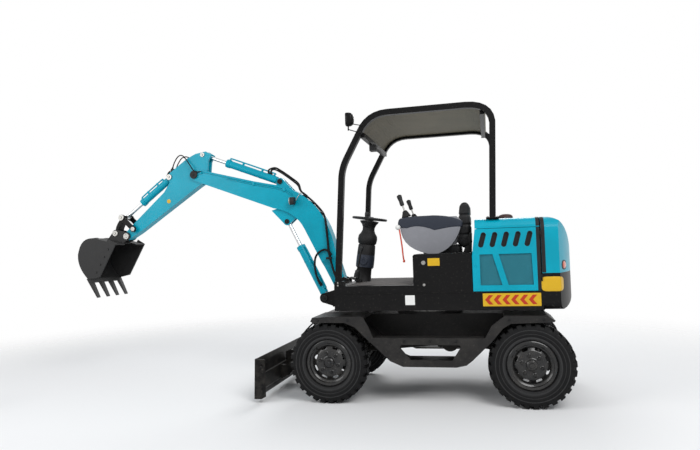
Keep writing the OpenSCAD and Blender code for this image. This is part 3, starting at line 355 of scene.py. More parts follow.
class Part:
    """One piece of the scene, gathered from several closed forms."""

    def __init__(self, name, material, body="upper_body", slot=None):
        self.name, self.material, self.body = name, material, body
        self.slot = slot or SLOT_OF.get(material)
        self.bm = bmesh.new()

    def rings(self, rings, closed=False):
        """Skins rings of equal length, with both ends capped, or with the last joined to the first."""
        bm = self.bm
        loops = [[bm.verts.new(p) for p in ring] for ring in rings]
        n = len(loops[0])
        pairs = list(zip(loops, loops[1:])) + ([(loops[-1], loops[0])] if closed else [])
        for a, b in pairs:
            for i in range(n):
                bm.faces.new((a[i], a[(i + 1) % n], b[(i + 1) % n], b[i]))
        if not closed:
            bm.faces.new(loops[0][::-1])
            bm.faces.new(loops[-1])
        return self

    def lathe(self, profile, centre, axis, n=32, closed=False):
        """Turns (radius, height) round the axis. A closed profile is a ring with a hole."""
        axis = Vector(axis).normalized()
        u = axis.orthogonal().normalized()
        v = axis.cross(u)
        c = Vector(centre)
        return self.rings([circle(c + axis * s, u, v, max(r, POINT_R), n) for r, s in profile], closed)

    def tube(self, points, r, n=10, smooth=6):
        """A round tube along a curve through the points."""
        path = curve_through(points, smooth) if smooth > 1 else [Vector(p) for p in points]
        side = (path[1] - path[0]).orthogonal().normalized()
        rings = []
        for i, p in enumerate(path):
            ahead = (path[min(i + 1, len(path) - 1)] - path[max(i - 1, 0)]).normalized()
            side = (side - side.dot(ahead) * ahead).normalized()
            rings.append(circle(p, side, ahead.cross(side), r, n))
        return self.rings(rings)

    def run(self, points, r, n=10, smooth=6):
        """A tube through places written as in the CAD."""
        return self.tube([here(*p) for p in points], r, n, smooth)

    def prism(self, outline, y0, y1, bevel=0, segments=2):
        """A side-view outline from y0 to y1, with rounded edges."""
        temp = bmesh.new()
        low = [temp.verts.new(here(x, y0, z)) for x, z in outline]
        high = [temp.verts.new(here(x, y1, z)) for x, z in outline]
        n = len(low)
        temp.faces.new(low)
        temp.faces.new(high[::-1])
        for i in range(n):
            temp.faces.new((low[i], high[i], high[(i + 1) % n], low[(i + 1) % n]))
        return self.merge(temp, bevel, segments)

    def block(self, lo, hi, bevel=0, turn=0):
        """A box with rounded edges, leaning round +Y by turn degrees about its lower middle."""
        lo, hi = Vector(lo), Vector(hi)
        size, mid = hi - lo, (lo + hi) / 2
        temp = bmesh.new()
        place = Matrix.Translation(here(*mid)) @ Matrix.Diagonal((*size, 1))
        bmesh.ops.create_cube(temp, size=1, matrix=place)
        if turn:
            spin = Matrix.Rotation(radians(turn), 3, "Y")
            bmesh.ops.rotate(temp, cent=here(mid.x, mid.y, lo.z), matrix=spin, verts=temp.verts)
        return self.merge(temp, bevel)

    def merge(self, temp, bevel=0, segments=2):
        """Rounds the edges of a closed form and adds it to the piece."""
        bmesh.ops.recalc_face_normals(temp, faces=temp.faces)
        if bevel:
            sharp = [e for e in temp.edges if e.calc_face_angle(0) > radians(35)]
            bmesh.ops.bevel(temp, geom=sharp, offset=bevel, segments=segments, affect="EDGES", profile=0.6)
        mesh = bpy.data.meshes.new("temp")
        temp.to_mesh(mesh)
        temp.free()
        self.bm.from_mesh(mesh)
        bpy.data.meshes.remove(mesh)
        return self

    def bolt(self, at, axis, d, h, washer=True):
        """Hexagon head with a washer and a rounded top."""
        axis = Vector(axis).normalized()
        if washer:
            self.lathe(((d * 0.72, 0), (d * 0.72, h * 0.16), (0, h * 0.17)), at, axis, 16)
        r = d / 2 / cos(pi / 6)
        return self.lathe(((r, 0), (r, h * 0.8), (r * 0.84, h), (0, h * 1.02)), at, axis, 6)

    def done(self, angle=35, blend=None):
        """Makes the piece's object, which rides its body; given a blend, it rides no body and only has its
        transform applied.
        """
        bmesh.ops.recalc_face_normals(self.bm, faces=self.bm.faces)
        mesh = bpy.data.meshes.new(self.name)
        self.bm.to_mesh(mesh)
        self.bm.free()
        mesh.materials.append(M[self.material])
        smooth(mesh, angle)
        obj = add_object(self.name, mesh)
        if blend:
            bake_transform(obj)
        else:
            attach(obj, self.body)
        return obj


# Wheels: studs with nuts, valve, and the moulded lines of the sidewalls, in lighter rubber as a painted
# highlight
AXLES = {"front": 0.935, "rear": -0.965}
WHEEL_Y, WHEEL_Z = 0.6275, 0.3875
# The tyre's flank, as (radius, distance from the wheel's middle plane)
FLANK = ((0.2235, 0.062), (0.2285, 0.076), (0.2705, 0.098), (0.3055, 0.1), (0.3415, 0.095))
# Sidewall lines, as (radius, half of the foot's width, height)
LINES = ((0.24, 0.007, 0.0035), (0.252, 0.012, 0.005), (0.288, 0.004, 0.0018), (0.322, 0.006, 0.003))
NUTS, NUT_CIRCLE = 6, 0.092
NUT_SEAT = ((0.021, 0), (0.021, 0.002), (0.0165, 0.005), (0.0165, 0.005))
STUD_END = ((0.0075, 0.018), (0.0075, 0.029), (0.0055, 0.031))
RIM_EDGE = ((0.174, 0.0215), (0.174, 0.0265), (0.18, 0.0275), (0.186, 0.0225), (0.186, 0.016))
HUB_EDGE = ((0.056, 0.044), (0.056, 0.049), (0.061, 0.05), (0.067, 0.047), (0.067, 0.044))
# Where the valve leaves the rim on both axes, and its way from there as (slant, outwards)
VALVE_AT = 0.183 * 0.7071
VALVE = ((0, 0.012), (-0.004, 0.034), (-0.007, 0.052))


def flank_y(r):
    for (r0, y0), (r1, y1) in zip(FLANK, FLANK[1:]):
        if r <= r1:
            return y0 + (y1 - y0) * (r - r0) / (r1 - r0)
    return FLANK[-1][1]


for end, x in AXLES.items():
    for side, s in SIDES:
        body = f"wheel_{end}_{side}"
        hub = here(x, s * WHEEL_Y, WHEEL_Z)
        out = (0, s, 0)
        rings = Part(f"sidewall_lines_{end}_{side}", "tyre_line_highlight", body, "tyre")
        for way in (1, -1):
            for r, w, h in LINES:
                top = flank_y(r) + h
                inner, outer = ((r + e, flank_y(r + e) - 0.002) for e in (-w, w))
                section = [inner, (r - w / 2, top), (r + w / 2, top), outer]
                rings.lathe(section, hub, (0, s * way, 0), 96, True)
        rings.done()
        nuts = Part(f"wheel_nuts_{end}_{side}", "rim", body)
        for i in range(NUTS):
            a = tau * (i + 0.25) / NUTS
            at = hub + Vector((cos(a) * NUT_CIRCLE, s * 0.044, sin(a) * NUT_CIRCLE))
            nuts.lathe(NUT_SEAT, at, out, 20)
            nuts.bolt(at + Vector((0, s * 0.004, 0)), out, 0.024, 0.015, False)
            nuts.lathe(STUD_END, at, out, 12)
        nuts.done()
        trim = Part(f"rim_trim_{end}_{side}", "rim", body)
        trim.lathe(RIM_EDGE, hub, out, 96, True).lathe(HUB_EDGE, hub, out, 64, True)
        trim.bolt(hub + Vector((0, s * 0.0745, 0)), out, 0.019, 0.006, False).done()
        way = [hub + Vector((VALVE_AT, s * y, VALVE_AT)) + Vector((slant, 0, slant)) for slant, y in VALVE]
        Part(f"tyre_valve_{end}_{side}", "hose", body).tube(way, 0.0045, 8).done()


# Pins of the linkages, as (body, x, z, face from the centre plane, radius, height, material)
PINS = (
    ("upper_body", 0.942, 1.08, 0.094, 0.043, 0.01, "bolt"),
    ("upper_body", 1.128, 0.967, 0.094, 0.034, 0.008, "seam"),
    ("boom", 1.549, 1.817, 0.0465, 0.028, 0.008, "seam"),
    ("boom", 2.654, 2.402, 0.087, 0.046, 0.009, "seam"),
    ("boom", 1.619, 2.269, 0.056, 0.03, 0.008, "seam"),
    ("arm", 2.556, 2.632, 0.055, 0.027, 0.008, "steel"),
    ("arm", 2.9826, 2.3959, 0.061, 0.033, 0.01, "bolt"),
    ("arm", 3.446, 1.8047, 0.107, 0.026, 0.003, "bolt"),
    ("arm", 3.5538, 1.7234, 0.079, 0.036, 0.003, "bolt"),
    ("guide_links", 3.595, 1.9447, 0.107, 0.034, 0.008, "bolt"),
    ("bucket", 3.6968, 1.7614, 0.0735, 0.034, 0.012, "bolt"),
)
# Caps lower than this have no bolt
BOLTED_CAP_H = 0.005
for i, (body, x, z, face, r, h, material) in enumerate(PINS):
    pin = Part(f"pin_caps_{i + 1}_{body}", material, body)
    dish = h - 0.0025
    cap = ((r, -0.004), (r, h - 0.002), (r - 0.002, h), (r * 0.62, h), (r * 0.56, dish), (r * 0.4, dish),
           (r * 0.34, h), (0, h))
    for s in (1, -1):
        pin.lathe(cap, here(x, s * face, z), (0, s, 0), 40)
        if h > BOLTED_CAP_H:
            pin.bolt(here(x, s * (face + h - 0.001), z), (0, s, 0), 0.017, 0.007, False)
    pin.done()


# Hoses and steel tubes
def hose(name, points, r, a, b, joint):
    """A hose from body a to body b with a fitting at each end. The joint points are passed on, but nothing
    bends the hose between them.
    """
    part = Part(name, "hose", a).run(points, r, 12)
    fitting = ((r * 1.5, -r), (r * 1.5, r * 2.2), (r * 1.2, r * 2.8), (r * 1.2, r * 5), (r, r * 5.4))
    for p, q in ((points[0], points[1]), (points[-1], points[-2])):
        part.lathe(fitting, here(*p), (here(*q) - here(*p)).normalized(), 12)
    return part.done(blend=(a, b, here(*joint[0]), here(*joint[1])))


BOOM_BACK = (Vector((0.99, 1.46)), Vector((1.098, 2.1)), Vector((1.657, 2.229)))


def on_back(t, off, y):
    """A point on the boom's back, off outwards from it."""
    a, b, c = BOOM_BACK
    p = (1 - t) ** 2 * a + 2 * t * (1 - t) * b + t * t * c
    d = ((1 - t) * (b - a) + t * (c - b)).normalized()
    return (p.x - d.y * off, y, p.y + d.x * off)


FOOT_BAND = ((0.942, 0.09, 1.06), (1.02, 0.09, 1.3))
ARM_BARREL_BAND = ((1.6, 0, 2.3), (1.7, 0, 2.36))
HOSE_R, SMALL_HOSE_R = 0.0095, 0.0065
for i, (side_y, back_y) in enumerate(((0.088, 0.05), (0.112, 0.026))):
    rise = [(0.862, side_y, 1.02), (0.905, side_y + 0.004, 1.06), (0.952, side_y + 0.012, 1.12),
            (1.0, side_y + 0.008, 1.22), (1.036, side_y, 1.34), (1.062, side_y, 1.468),
            (1.072, side_y, 1.6), on_back(0.3, 0.004, side_y - 0.01)]
    laid = [on_back(t, 0.014, back_y) for t in (0.38, 0.48, 0.6, 0.68)]
    hose(f"boom_hose_{i + 1}", rise + laid, HOSE_R, "upper_body", "boom", FOOT_BAND)
    end_x = 1.736 + 0.03 * i
    over = [on_back(0.66, 0.014, back_y), on_back(0.74, 0.03, back_y), (1.41, back_y, 2.216 + 0.02 * i),
            (1.5, back_y * 0.8, 2.292 + 0.02 * i), (1.612, back_y * 0.5, 2.372 + 0.02 * i),
            (1.69, back_y * 0.3, 2.412 + 0.02 * i), (end_x, 0.004, 2.402 + 0.01 * i),
            (end_x, 0, 2.354 + 0.01 * i)]
    hose(f"boom_top_hose_{i + 1}", over, HOSE_R, "boom", "arm_barrel", ARM_BARREL_BAND)
LOOP = ((1.048, 0.094, 1.44), (1.07, 0.1, 1.476), (1.122, 0.104, 1.49), (1.192, 0.104, 1.446),
        (1.224, 0.1, 1.37), (1.222, 0.086, 1.245), (1.196, 0.06, 1.15), (1.176, 0.048, 1.112))
hose("boom_loop_hose", LOOP, 0.0115, "boom", "upper_body", ((1.13, 0, 1.42), (1.2, 0, 1.16)))
for side, s in SIDES:
    arch = [(2.56, s * 0.082, 2.431), (2.6, s * 0.092, 2.432), (2.65, s * 0.102, 2.452),
            (2.718, s * 0.094, 2.549), (2.8, s * 0.07, 2.634), (2.868, s * 0.05, 2.632),
            (2.92, s * 0.044, 2.566), (2.952, s * 0.04, 2.492)]
    hose(f"arm_hose_{side}", arch, SMALL_HOSE_R, "boom", "arm", ((2.6, 0, 2.44), (2.8, 0, 2.58)))
    base = [(2.95, s * 0.04, 2.5), (2.96, s * 0.036, 2.474), (2.99, s * 0.026, 2.47),
            (3.018, s * 0.012 + 0.006, 2.452), (3.038 + 0.006 * s, 0, 2.424 - 0.004 * s)]
    name = f"bucket_base_hose_{side}"
    hose(name, base, SMALL_HOSE_R, "arm", "bucket_barrel", ((2.95, 0, 2.48), (3.01, 0, 2.44)))
for side, s in SIDES:
    y = 0.03 * s
    arch = [(1.1, y * 3, 0.64), (1.124, y * 3.4, 0.664), (1.168, y * 2.8, 0.662), (1.214, y * 1.6, 0.64)]
    hose(f"blade_hose_{side}", arch, 0.0075, "chassis", "blade_barrel", ((1.13, 0, 0.66), (1.19, 0, 0.66)))


def along(a, b, s, off=0, y=0):
    """The place s along the line from a to b in the side view, off to its upper side."""
    a, b = Vector(a), Vector(b)
    d = (b - a).normalized()
    n = Vector((-d.y, d.x))
    if n.y < 0:
        n = -n
    p = a + d * s + n * off
    return here(p.x, y, p.y)


# Cylinders, as (body, paint, foot, eye, diameter, length, tube's rise off the barrel, tube's y)
CYLINDERS = (
    ("arm_barrel", "teal", (1.619, 2.269), (2.556, 2.632), 0.084, 0.7, 0.024, 0),
    ("boom_barrel", "teal", (1.128, 0.967), (1.549, 1.817), 0.09, 0.64, 0.008, 0.028),
    ("bucket_barrel", "teal", (2.9826, 2.3959), (3.595, 1.9447), 0.08, 0.48, 0.024, 0),
    ("blade_barrel", "black", (1.168, 0.722), (1.534, 0.37), 0.084, 0.3, 0.02, 0),
)
# The tube leaves the barrel here, and comes back this far before the gland
TUBE_START, TUBE_END = 0.105, 0.026
# Barrels longer than this have two bands that hold the tube
BANDED_LENGTH = 0.35
UNION = ((0.017, 0), (0.017, 0.013), (0.013, 0.017))
WIPER = ((0.027, -0.001), (0.033, 0.001), (0.031, 0.006), (0.0225, 0.008), (0.0225, -0.001))
for body, material, a, b, d, length, rise, y in CYLINDERS:
    r = d / 2
    pipe = Part(f"tube_{body}", material, body)
    line = ((TUBE_START, r - 0.002), (TUBE_START, r + rise - 0.006), (0.135, r + rise),
            (length - 0.075, r + rise), (length - 0.03, r + rise - 0.006), (length - TUBE_END, r - 0.002))
    pipe.tube([along(a, b, s, off, y) for s, off in line], 0.0085, 12, 4)
    for s in (TUBE_START, length - TUBE_END):
        root, top = along(a, b, s, r - 0.008, y), along(a, b, s, r + 0.01, y)
        pipe.lathe(UNION, root, top - root, 16)
    pipe.done()
    bands = Part(f"bands_{body}", material, body)
    way = along(a, b, 1.0) - along(a, b, 0)
    g = r + 0.005
    gland = ((g - 0.004, -0.004), (g + 0.0015, -0.003), (g + 0.0015, 0.003), (g - 0.004, 0.004))
    bands.lathe(gland, along(a, b, length - 0.02), way, 48, True)
    bands.lathe(WIPER, along(a, b, length), way, 40, True)
    band = ((r - 0.003, -0.006), (r + 0.0018, -0.006), (r + 0.0018, 0.006), (r - 0.003, 0.006))
    post = ((0.013, 0), (0.013, rise + 0.01), (0.01, rise + 0.013))
    for s in (0.3 * length + 0.05, 0.72 * length) if length > BANDED_LENGTH else ():
        bands.lathe(band, along(a, b, s), way, 48, True)
        root, top = along(a, b, s, r - 0.004, y), along(a, b, s, r + rise, y)
        bands.lathe(post, root, top - root, 16)
    bands.done()

clamps = Part("boom_hose_clamps", "seam", "boom")
half = Vector((0.014, 0.03, 0.013))
for at in (0.4, 0.55, 0.67):
    mid = Vector(on_back(at, 0.013, 0.038))
    nearer = Vector(on_back(at - 0.02, 0.013, 0.038))
    clamps.block(mid - half, mid + half, 0.003, degrees(atan2(mid.x - nearer.x, mid.z - nearer.z)))
clamps.block((1.032, 0.074, 1.386), (1.092, 0.126, 1.41), 0.004)
clamps.bolt(here(1.062, 0.126, 1.398), OUT, 0.013, 0.006).done()
Part("hose_blocks", "seam", "arm").block((2.934, -0.05, 2.452), (2.968, 0.05, 2.496), 0.003).done()
TOP_EDGE = ((1.47, 2.12), (1.56, 2.18), (1.66, 2.21), (1.92, 2.267), (2.25, 2.352), (2.565, 2.433))
# Boom pipes on each side, as (name, drop below the top edge, points taken)
PIPES = {"left": (("upper", 0, 6), ("lower", 0.016, 5)), "right": (("upper", 0, 6),)}
for side, s in SIDES:
    for name, drop, count in PIPES[side]:
        pipe = Part(f"boom_pipe_{name}_{side}", "teal", "boom")
        pipe.run([(x, s * 0.0808, z - drop) for x, z in TOP_EDGE[:count]], 0.0058).done()
    unions = Part(f"boom_pipe_clamps_{side}", "teal", "boom")
    y0, y1 = facing(s, 0.0745, 0.0905)
    for x, z in TOP_EDGE[1::2]:
        unions.block((x - 0.012, y0, z - 0.026), (x + 0.012, y1, z + 0.009), 0.002)
    unions.done()


# Signs and plates, all blank
def round_box(x0, x1, z0, z1, r, n=5):
    out = []
    corners = ((x1 - r, z1 - r), (x0 + r, z1 - r), (x0 + r, z0 + r), (x1 - r, z0 + r))
    for quarter, (cx, cz) in enumerate(corners):
        for k in range(n + 1):
            a = radians(90 * quarter + 90 * k / n)
            out.append((cx + r * cos(a), cz + r * sin(a)))
    return out


# Distance of the upper body's side faces from the centre plane
HALF = 0.7
CHEVRONS, CHEVRON_PITCH = 6, 0.0772
for side, s in SIDES:
    board = Part(f"chevron_board_{side}", "sign_yellow")
    board.prism(round_box(-1.068, -0.555, 0.926, 1.044, 0.004), *facing(s, HALF, HALF + 0.0016)).done()
    marks = Part(f"chevron_marks_{side}", "sign_red")
    mid, h, back, w = 0.985, 0.043, 0.036, 0.038
    for i in range(CHEVRONS):
        x = -0.574 - i * CHEVRON_PITCH
        arrow = [(x, mid), (x - back, mid + h), (x - back - w, mid + h), (x - w, mid),
                 (x - back - w, mid - h), (x - back, mid - h)]
        marks.prism(arrow, *facing(s, HALF + 0.0014, HALF + 0.0024))
    marks.done()
for name, material, box in (
    ("blank_plate", "sign_white", (0.072, 0.163, 0.944, 1.035)),
    ("blank_notice", "sign_yellow", (-0.172, -0.06, 1.309, 1.38)),
):
    Part(name, material).prism(round_box(*box, 0.004), HALF - 0.0002, HALF + 0.0012).done()
dot = Part("blank_dot", "sign_yellow", "arm")
disc = ((0.024, -0.0004), (0.024, 0.0008), (0.023, 0.0011))
for s in (1, -1):
    dot.lathe(disc, here(2.996, s * 0.055, 2.113), (0, s, 0), 40)
dot.done()
locks = Part("box_locks", "bolt")
for z, r in ((1.339, 0.02), (1.131, 0.013)):
    face = ((r, -0.001), (r, 0.003), (r - 0.002, 0.005), (r * 0.6, 0.0055), (r * 0.5, 0.003), (0, 0.003))
    locks.lathe(face, here(-0.02, HALF, z), OUT, 32)
locks.done()


def surface(node):
    mesh = frame["nodes"][node].data
    return BVHTree.FromPolygons([v.co for v in mesh.vertices], [p.vertices for p in mesh.polygons])


def patch(tree, s, cx, cz, a, b, power, lift, rings, n):
    """Rings of a superellipse that follows the surface seen from side s, with its middle raised by lift."""
    def at(x, z):
        hit = tree.ray_cast(here(x, s * 2, z), Vector((0, -s, 0)))
        return (hit[0].y, hit[1]) if hit[0] else (s * HALF, Vector((0, s, 0)))
    loops = []
    for k in range(rings, -1, -1):
        t = k / rings
        loop = []
        for i in range(n):
            c, d = cos(tau * i / n), sin(tau * i / n)
            x = cx + a * copysign(abs(c) ** (2 / power), c) * max(t, 0.01)
            z = cz + b * copysign(abs(d) ** (2 / power), d) * max(t, 0.01)
            y, normal = at(x, z)
            loop.append(here(x, y, z) + normal * (lift * (1 - t**4) + 0.0006))
        loops.append(loop)
    under = []
    for p in loops[0]:
        y, normal = at(p.x - SLEW_X, p.z)
        under.append(Vector((p.x, y, p.z)) - normal * 0.002)
    return [under] + loops


weight_tree, hood_tree = surface("counterweight"), surface("rear_hood")
# Tail plate and marker lamp, as (name, material, surface, patch's sizes, sharp angle)
TAIL = (
    ("tail_plate", "sign_yellow", weight_tree, (-1.174, 1.122, 0.098, 0.066, 5, 0.004, 16, 64), 50),
    ("lamp_ring", "seam", hood_tree, (-1.287, 1.287, 0.027, 0.044, 2.6, 0.003, 6, 48), 50),
    ("marker_lens", "lamp_red", hood_tree, (-1.287, 1.287, 0.019, 0.035, 2.4, 0.01, 6, 48), 60),
)
for side, s in SIDES:
    for name, material, tree, sizes, angle in TAIL:
        Part(f"{name}_{side}", material).rings(patch(tree, s, *sizes)).done(angle)


# Engine doors: slots with painted shade inside, woven mesh in the windows with painted shade behind it, a
# latch
BAY_FRONT, BAY_REAR, SKIRT_Z = -0.47, -1.088, 1.06
LOW, TOP = SKIRT_Z + 0.058, SKIRT_Z + 0.342
WINDOWS = (
    [(BAY_FRONT - 0.07, LOW), (BAY_FRONT - 0.07, TOP), (BAY_FRONT - 0.185, TOP), (BAY_FRONT - 0.265, LOW)],
    [(BAY_FRONT - 0.242, TOP), (BAY_REAR + 0.088, TOP), (BAY_REAR + 0.078, LOW), (BAY_FRONT - 0.32, LOW)],
)
# Distance of the windows' backing from the centre plane
BACKING_Y = HALF - 0.016
PITCH, WIRE_R = 0.009, 0.0013
SLOTS = 5
# A slot's rounded lip, as (radius from the slot's middle line, y)
LIP = ((0.0165, 0.6925), (0.0165, 0.7006), (0.019, 0.7016), (0.0225, 0.7014), (0.024, 0.7002), (0.02, 0.699))
LATCH = ((0.013, -0.001), (0.013, 0.003), (0.011, 0.005), (0.004, 0.005), (0.003, 0.003))


def span(outline, level, axis):
    """Where a horizontal or upright line crosses a convex outline."""
    hits = []
    for p, q in zip(outline, outline[1:] + outline[:1]):
        lo, hi = sorted((p[axis], q[axis]))
        if lo <= level < hi:
            t = (level - p[axis]) / (q[axis] - p[axis])
            hits.append(p[1 - axis] + t * (q[1 - axis] - p[1 - axis]))
    return sorted(hits) if len(hits) == 2 else None


def slot_edge(k):
    """Door slot k, as (end of its middle line, angle round it)."""
    x = BAY_FRONT - 0.085 - k * 0.103
    a, b = Vector((x, SKIRT_Z + 0.43)), Vector((x - 0.026, SKIRT_Z + 0.522))
    start = atan2((b - a).y, (b - a).x)
    turns = [(b, t) for t in range(-90, 91, 15)] + [(a, t) for t in range(90, 271, 15)]
    return [(c, start + radians(t)) for c, t in turns]


def lip_ring(c, t, s):
    return [here(c.x + r * cos(t), s * y, c.y + r * sin(t)) for r, y in LIP]


for side, s in SIDES:
    body = "engine_door" if s > 0 else "upper_body"
    mesh_part = Part(f"window_mesh_{side}", "mesh_teal", body)
    for window in WINDOWS:
        for axis in (0, 1):
            lo, hi = min(p[axis] for p in window), max(p[axis] for p in window)
            count = int((hi - lo) / PITCH)
            y = s * BACKING_Y + s * (0.0022 + 0.0016 * axis)
            for k in range(1, count + 1):
                level = lo + (k - 0.5) * (hi - lo) / count
                ends = span(window, level, axis)
                if ends:
                    mesh_part.run([(e, y, level) if axis else (level, y, e) for e in ends], WIRE_R, 5, 1)
    mesh_part.done(60)
    # The sheet behind the mesh is a darker teal: painted shade in the window recess
    shaded_backing = Part(f"window_back_{side}", "window_teal_shaded", body, "teal_paint")
    for window in WINDOWS:
        shaded_backing.prism(window, *facing(s, BACKING_Y, BACKING_Y + 0.001))
    shaded_backing.done()
    # Black sheets behind the slots and black slot lips: painted shade inside the slots
    shade_sheets = Part(f"slot_shade_sheets_{side}", "liner", body)
    for k in range(SLOTS):
        outline = [(c.x + 0.0176 * cos(t), c.y + 0.0176 * sin(t)) for c, t in slot_edge(k)]
        shade_sheets.prism(outline, *facing(s, BACKING_Y, BACKING_Y + 0.0012))
    shade_sheets.done()
    lips = Part(f"slot_lips_shaded_{side}", "liner", body)
    for k in range(SLOTS):
        lips.rings([lip_ring(c, t, s) for c, t in slot_edge(k)], True)
    lips.done(60)
    Part(f"door_lock_{side}", "teal", body).lathe(LATCH, here(-0.502, s * HALF, 1.3), (0, s, 0), 28).done()


# Black strips where the doors and the cover meet the hood, as painted shade of the seams, and a bead on the
# skirt
def arch_band(tree, x0, x1, start, sweep, lift=0.0014, n=168):
    """Rings of a thin band between x0 and x1, over the top of a panel, with its angles in degrees."""
    a, b = (x0 * 2 + x1) / 3, (x0 + x1 * 2) / 3
    section = ((x0, -0.003), (x0, lift * 0.7), (a, lift), (b, lift), (x1, lift * 0.7), (x1, -0.003))
    rings = []
    for i in range(n + 1):
        angle = radians(start + sweep * i / n)
        out = Vector((0, cos(angle), sin(angle)))
        ring = []
        for x, up in section:
            centre = here(x, 0, 1.4)
            hit = tree.ray_cast(centre + out * 2, -out)
            ring.append((hit[0] if hit[0] else centre + out * 0.7) + out * up)
        rings.append(ring)
    return rings


# Where the black strip of painted seam shade runs along the door's rear edge
SEAM_SHADE_X = (-1.0758, -1.046)
for name, tree, x0, x1, start, sweep in (
    ("cover_edge_seal", surface("engine_cover"), *SEAM_SHADE_X, 16, 148),
    ("hood_edge_seal", hood_tree, -1.12, -1.0884, -14, 208),
):
    Part(name, "liner").rings(arch_band(tree, x0, x1, start, sweep)).done(50)
for side, s in SIDES:
    strip = Part(f"door_edge_shade_{side}", "liner", "engine_door" if s > 0 else "upper_body")
    outline = [(SEAM_SHADE_X[0], 1.065), (SEAM_SHADE_X[1], 1.065), (SEAM_SHADE_X[1], 1.637), (SEAM_SHADE_X[0], 1.637)]
    strip.prism(outline, *facing(s, 0.699, 0.7012)).done()
# Long strips on both sides, as (name, material, y values, ends in x, in z, bevel)
for name, material, y_range, (x0, x1), (z0, z1), bevel in (
    # The black strip in the gap under the cover is painted shade of the gap
    ("cover_gap_seal", "liner", (0.671, 0.6765), (-1.07, -0.52), (1.622, 1.652), 0.001),
    ("skirt_bead", "black", (0.699, 0.7035), (-1.078, 0.853), (1.05, 1.0585), 0.0015),
):
    strip = Part(name, material)
    for side, s in SIDES:
        y0, y1 = facing(s, *y_range)
        strip.block((x0, y0, z0), (x1, y1, z1), bevel)
    strip.done()


# Consoles: dark top shell, boots, grips and the safety lever
def bend(a, b, c, n):
    """Points on a curve from a to c that is tangent to the lines through b."""
    out = []
    for i in range(n + 1):
        t = i / n
        out.append([(1 - t) ** 2 * a[k] + 2 * t * (1 - t) * b[k] + t * t * c[k] for k in (0, 1)])
    return out


def turned(angle):
    """An axis that leans forwards from upright by the angle in degrees."""
    return Vector((sin(radians(angle)), 0, cos(radians(angle))))


CONSOLE_Z = 1.78
STICK_X, STICK_Y, STICK_AXIS = 0.17, 0.355, turned(18)
CAP = (
    [(0.252, CONSOLE_Z - 0.094), (0.25, CONSOLE_Z - 0.04)]
    + bend((0.24, CONSOLE_Z - 0.01), (0.225, CONSOLE_Z + 0.01), (0.06, CONSOLE_Z + 0.016), 5)
    + bend((-0.1, CONSOLE_Z + 0.018), (-0.29, CONSOLE_Z + 0.01), (-0.384, CONSOLE_Z - 0.046), 8)
    + bend((-0.38, CONSOLE_Z - 0.11), (-0.33, CONSOLE_Z - 0.096), (-0.2, CONSOLE_Z - 0.118), 4)
    + bend((-0.11, CONSOLE_Z - 0.132), (0.05, CONSOLE_Z - 0.06), (0.16, CONSOLE_Z - 0.104), 6)
)
FOLDS = [(0.046 - 0.0032 * k + (0.004 if k % 2 else 0), 0.004 + 0.0075 * k) for k in range(9)]
GRIP = ((0.017, 0), (0.021, 0.008), (0.0225, 0.03), (0.0205, 0.05), (0.0235, 0.078), (0.0262, 0.098),
        (0.024, 0.11), (0.014, 0.116))
BUTTON = ((0.0075, 0), (0.0075, 0.006), (0.004, 0.008))
for side, s in SIDES:
    Part(f"console_shell_{side}", "cap").prism(CAP, *facing(s, 0.286, 0.424), 0.012, 3).done(50)
    boot = Part(f"lever_boot_{side}", "liner")
    sleeve = [(0.052, 0)] + FOLDS + [(0.012, 0.07)]
    boot.lathe(sleeve, here(STICK_X, s * STICK_Y, CONSOLE_Z + 0.014), (0.25, 0, 1), 32).done(60)
    base = here(STICK_X, s * STICK_Y, CONSOLE_Z + 0.02) + STICK_AXIS * 0.116
    grip = Part(f"lever_grip_{side}", "dark").lathe(GRIP, base, STICK_AXIS, 28)
    grip.lathe(BUTTON, base + STICK_AXIS * 0.112, STICK_AXIS, 16).done(60)
lever = Part("safety_lever", "lever_red")
ROD = ((0.236, 0.43, 1.668), (0.226, 0.436, 1.6), (0.214, 0.436, 1.5), (0.206, 0.436, 1.4),
       (0.2, 0.43, 1.36))
lever.run(ROD, 0.0075, 12)
lever.lathe(((0.01, -0.012), (0.012, 0), (0.01, 0.012)), here(0.2, 0.43, 1.352), UP, 16).done()
ball = [(0.026 * sin(radians(t)), -0.026 * cos(radians(t))) for t in range(0, 181, 15)]
Part("lever_knob", "sign_white").lathe(ball, here(0.248, 0.436, 1.69), UP, 28).done(60)

# Steering column: cowl, clamp ring and switch stalks
FLOOR_Z = 1.13
lean = turned(-8)
foot = here(0.715, 0, FLOOR_Z)
COWL = (
    (0, 0), (0.095, 0), (0.09, 0.014), (0.08, 0.03), (0.078, 0.145), (0.09, 0.156),
    (0.094, 0.2), (0.096, 0.31), (0.092, 0.398), (0.084, 0.408), (0.098, 0.42), (0.105, 0.466),
    (0.1, 0.502), (0.078, 0.532), (0.066, 0.56), (0.065, 0.59), (0.078, 0.622), (0.1, 0.65),
    (0.101, 0.66), (0.07, 0.667), (0.024, 0.6715), (0, 0.6715),
)
cowl = Part("column_cowl", "liner").lathe(COWL, foot, lean, 48)
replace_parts(cowl.done(50), "controls")
sticks = Part("joystick_stems", "bolt")
for s in (1, -1):
    stem = here(STICK_X, s * STICK_Y, CONSOLE_Z + 0.022)
    sticks.lathe(((0.008, 0), (0.008, 0.12)), stem, STICK_AXIS, 16)
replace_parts(sticks.done(), "controls")
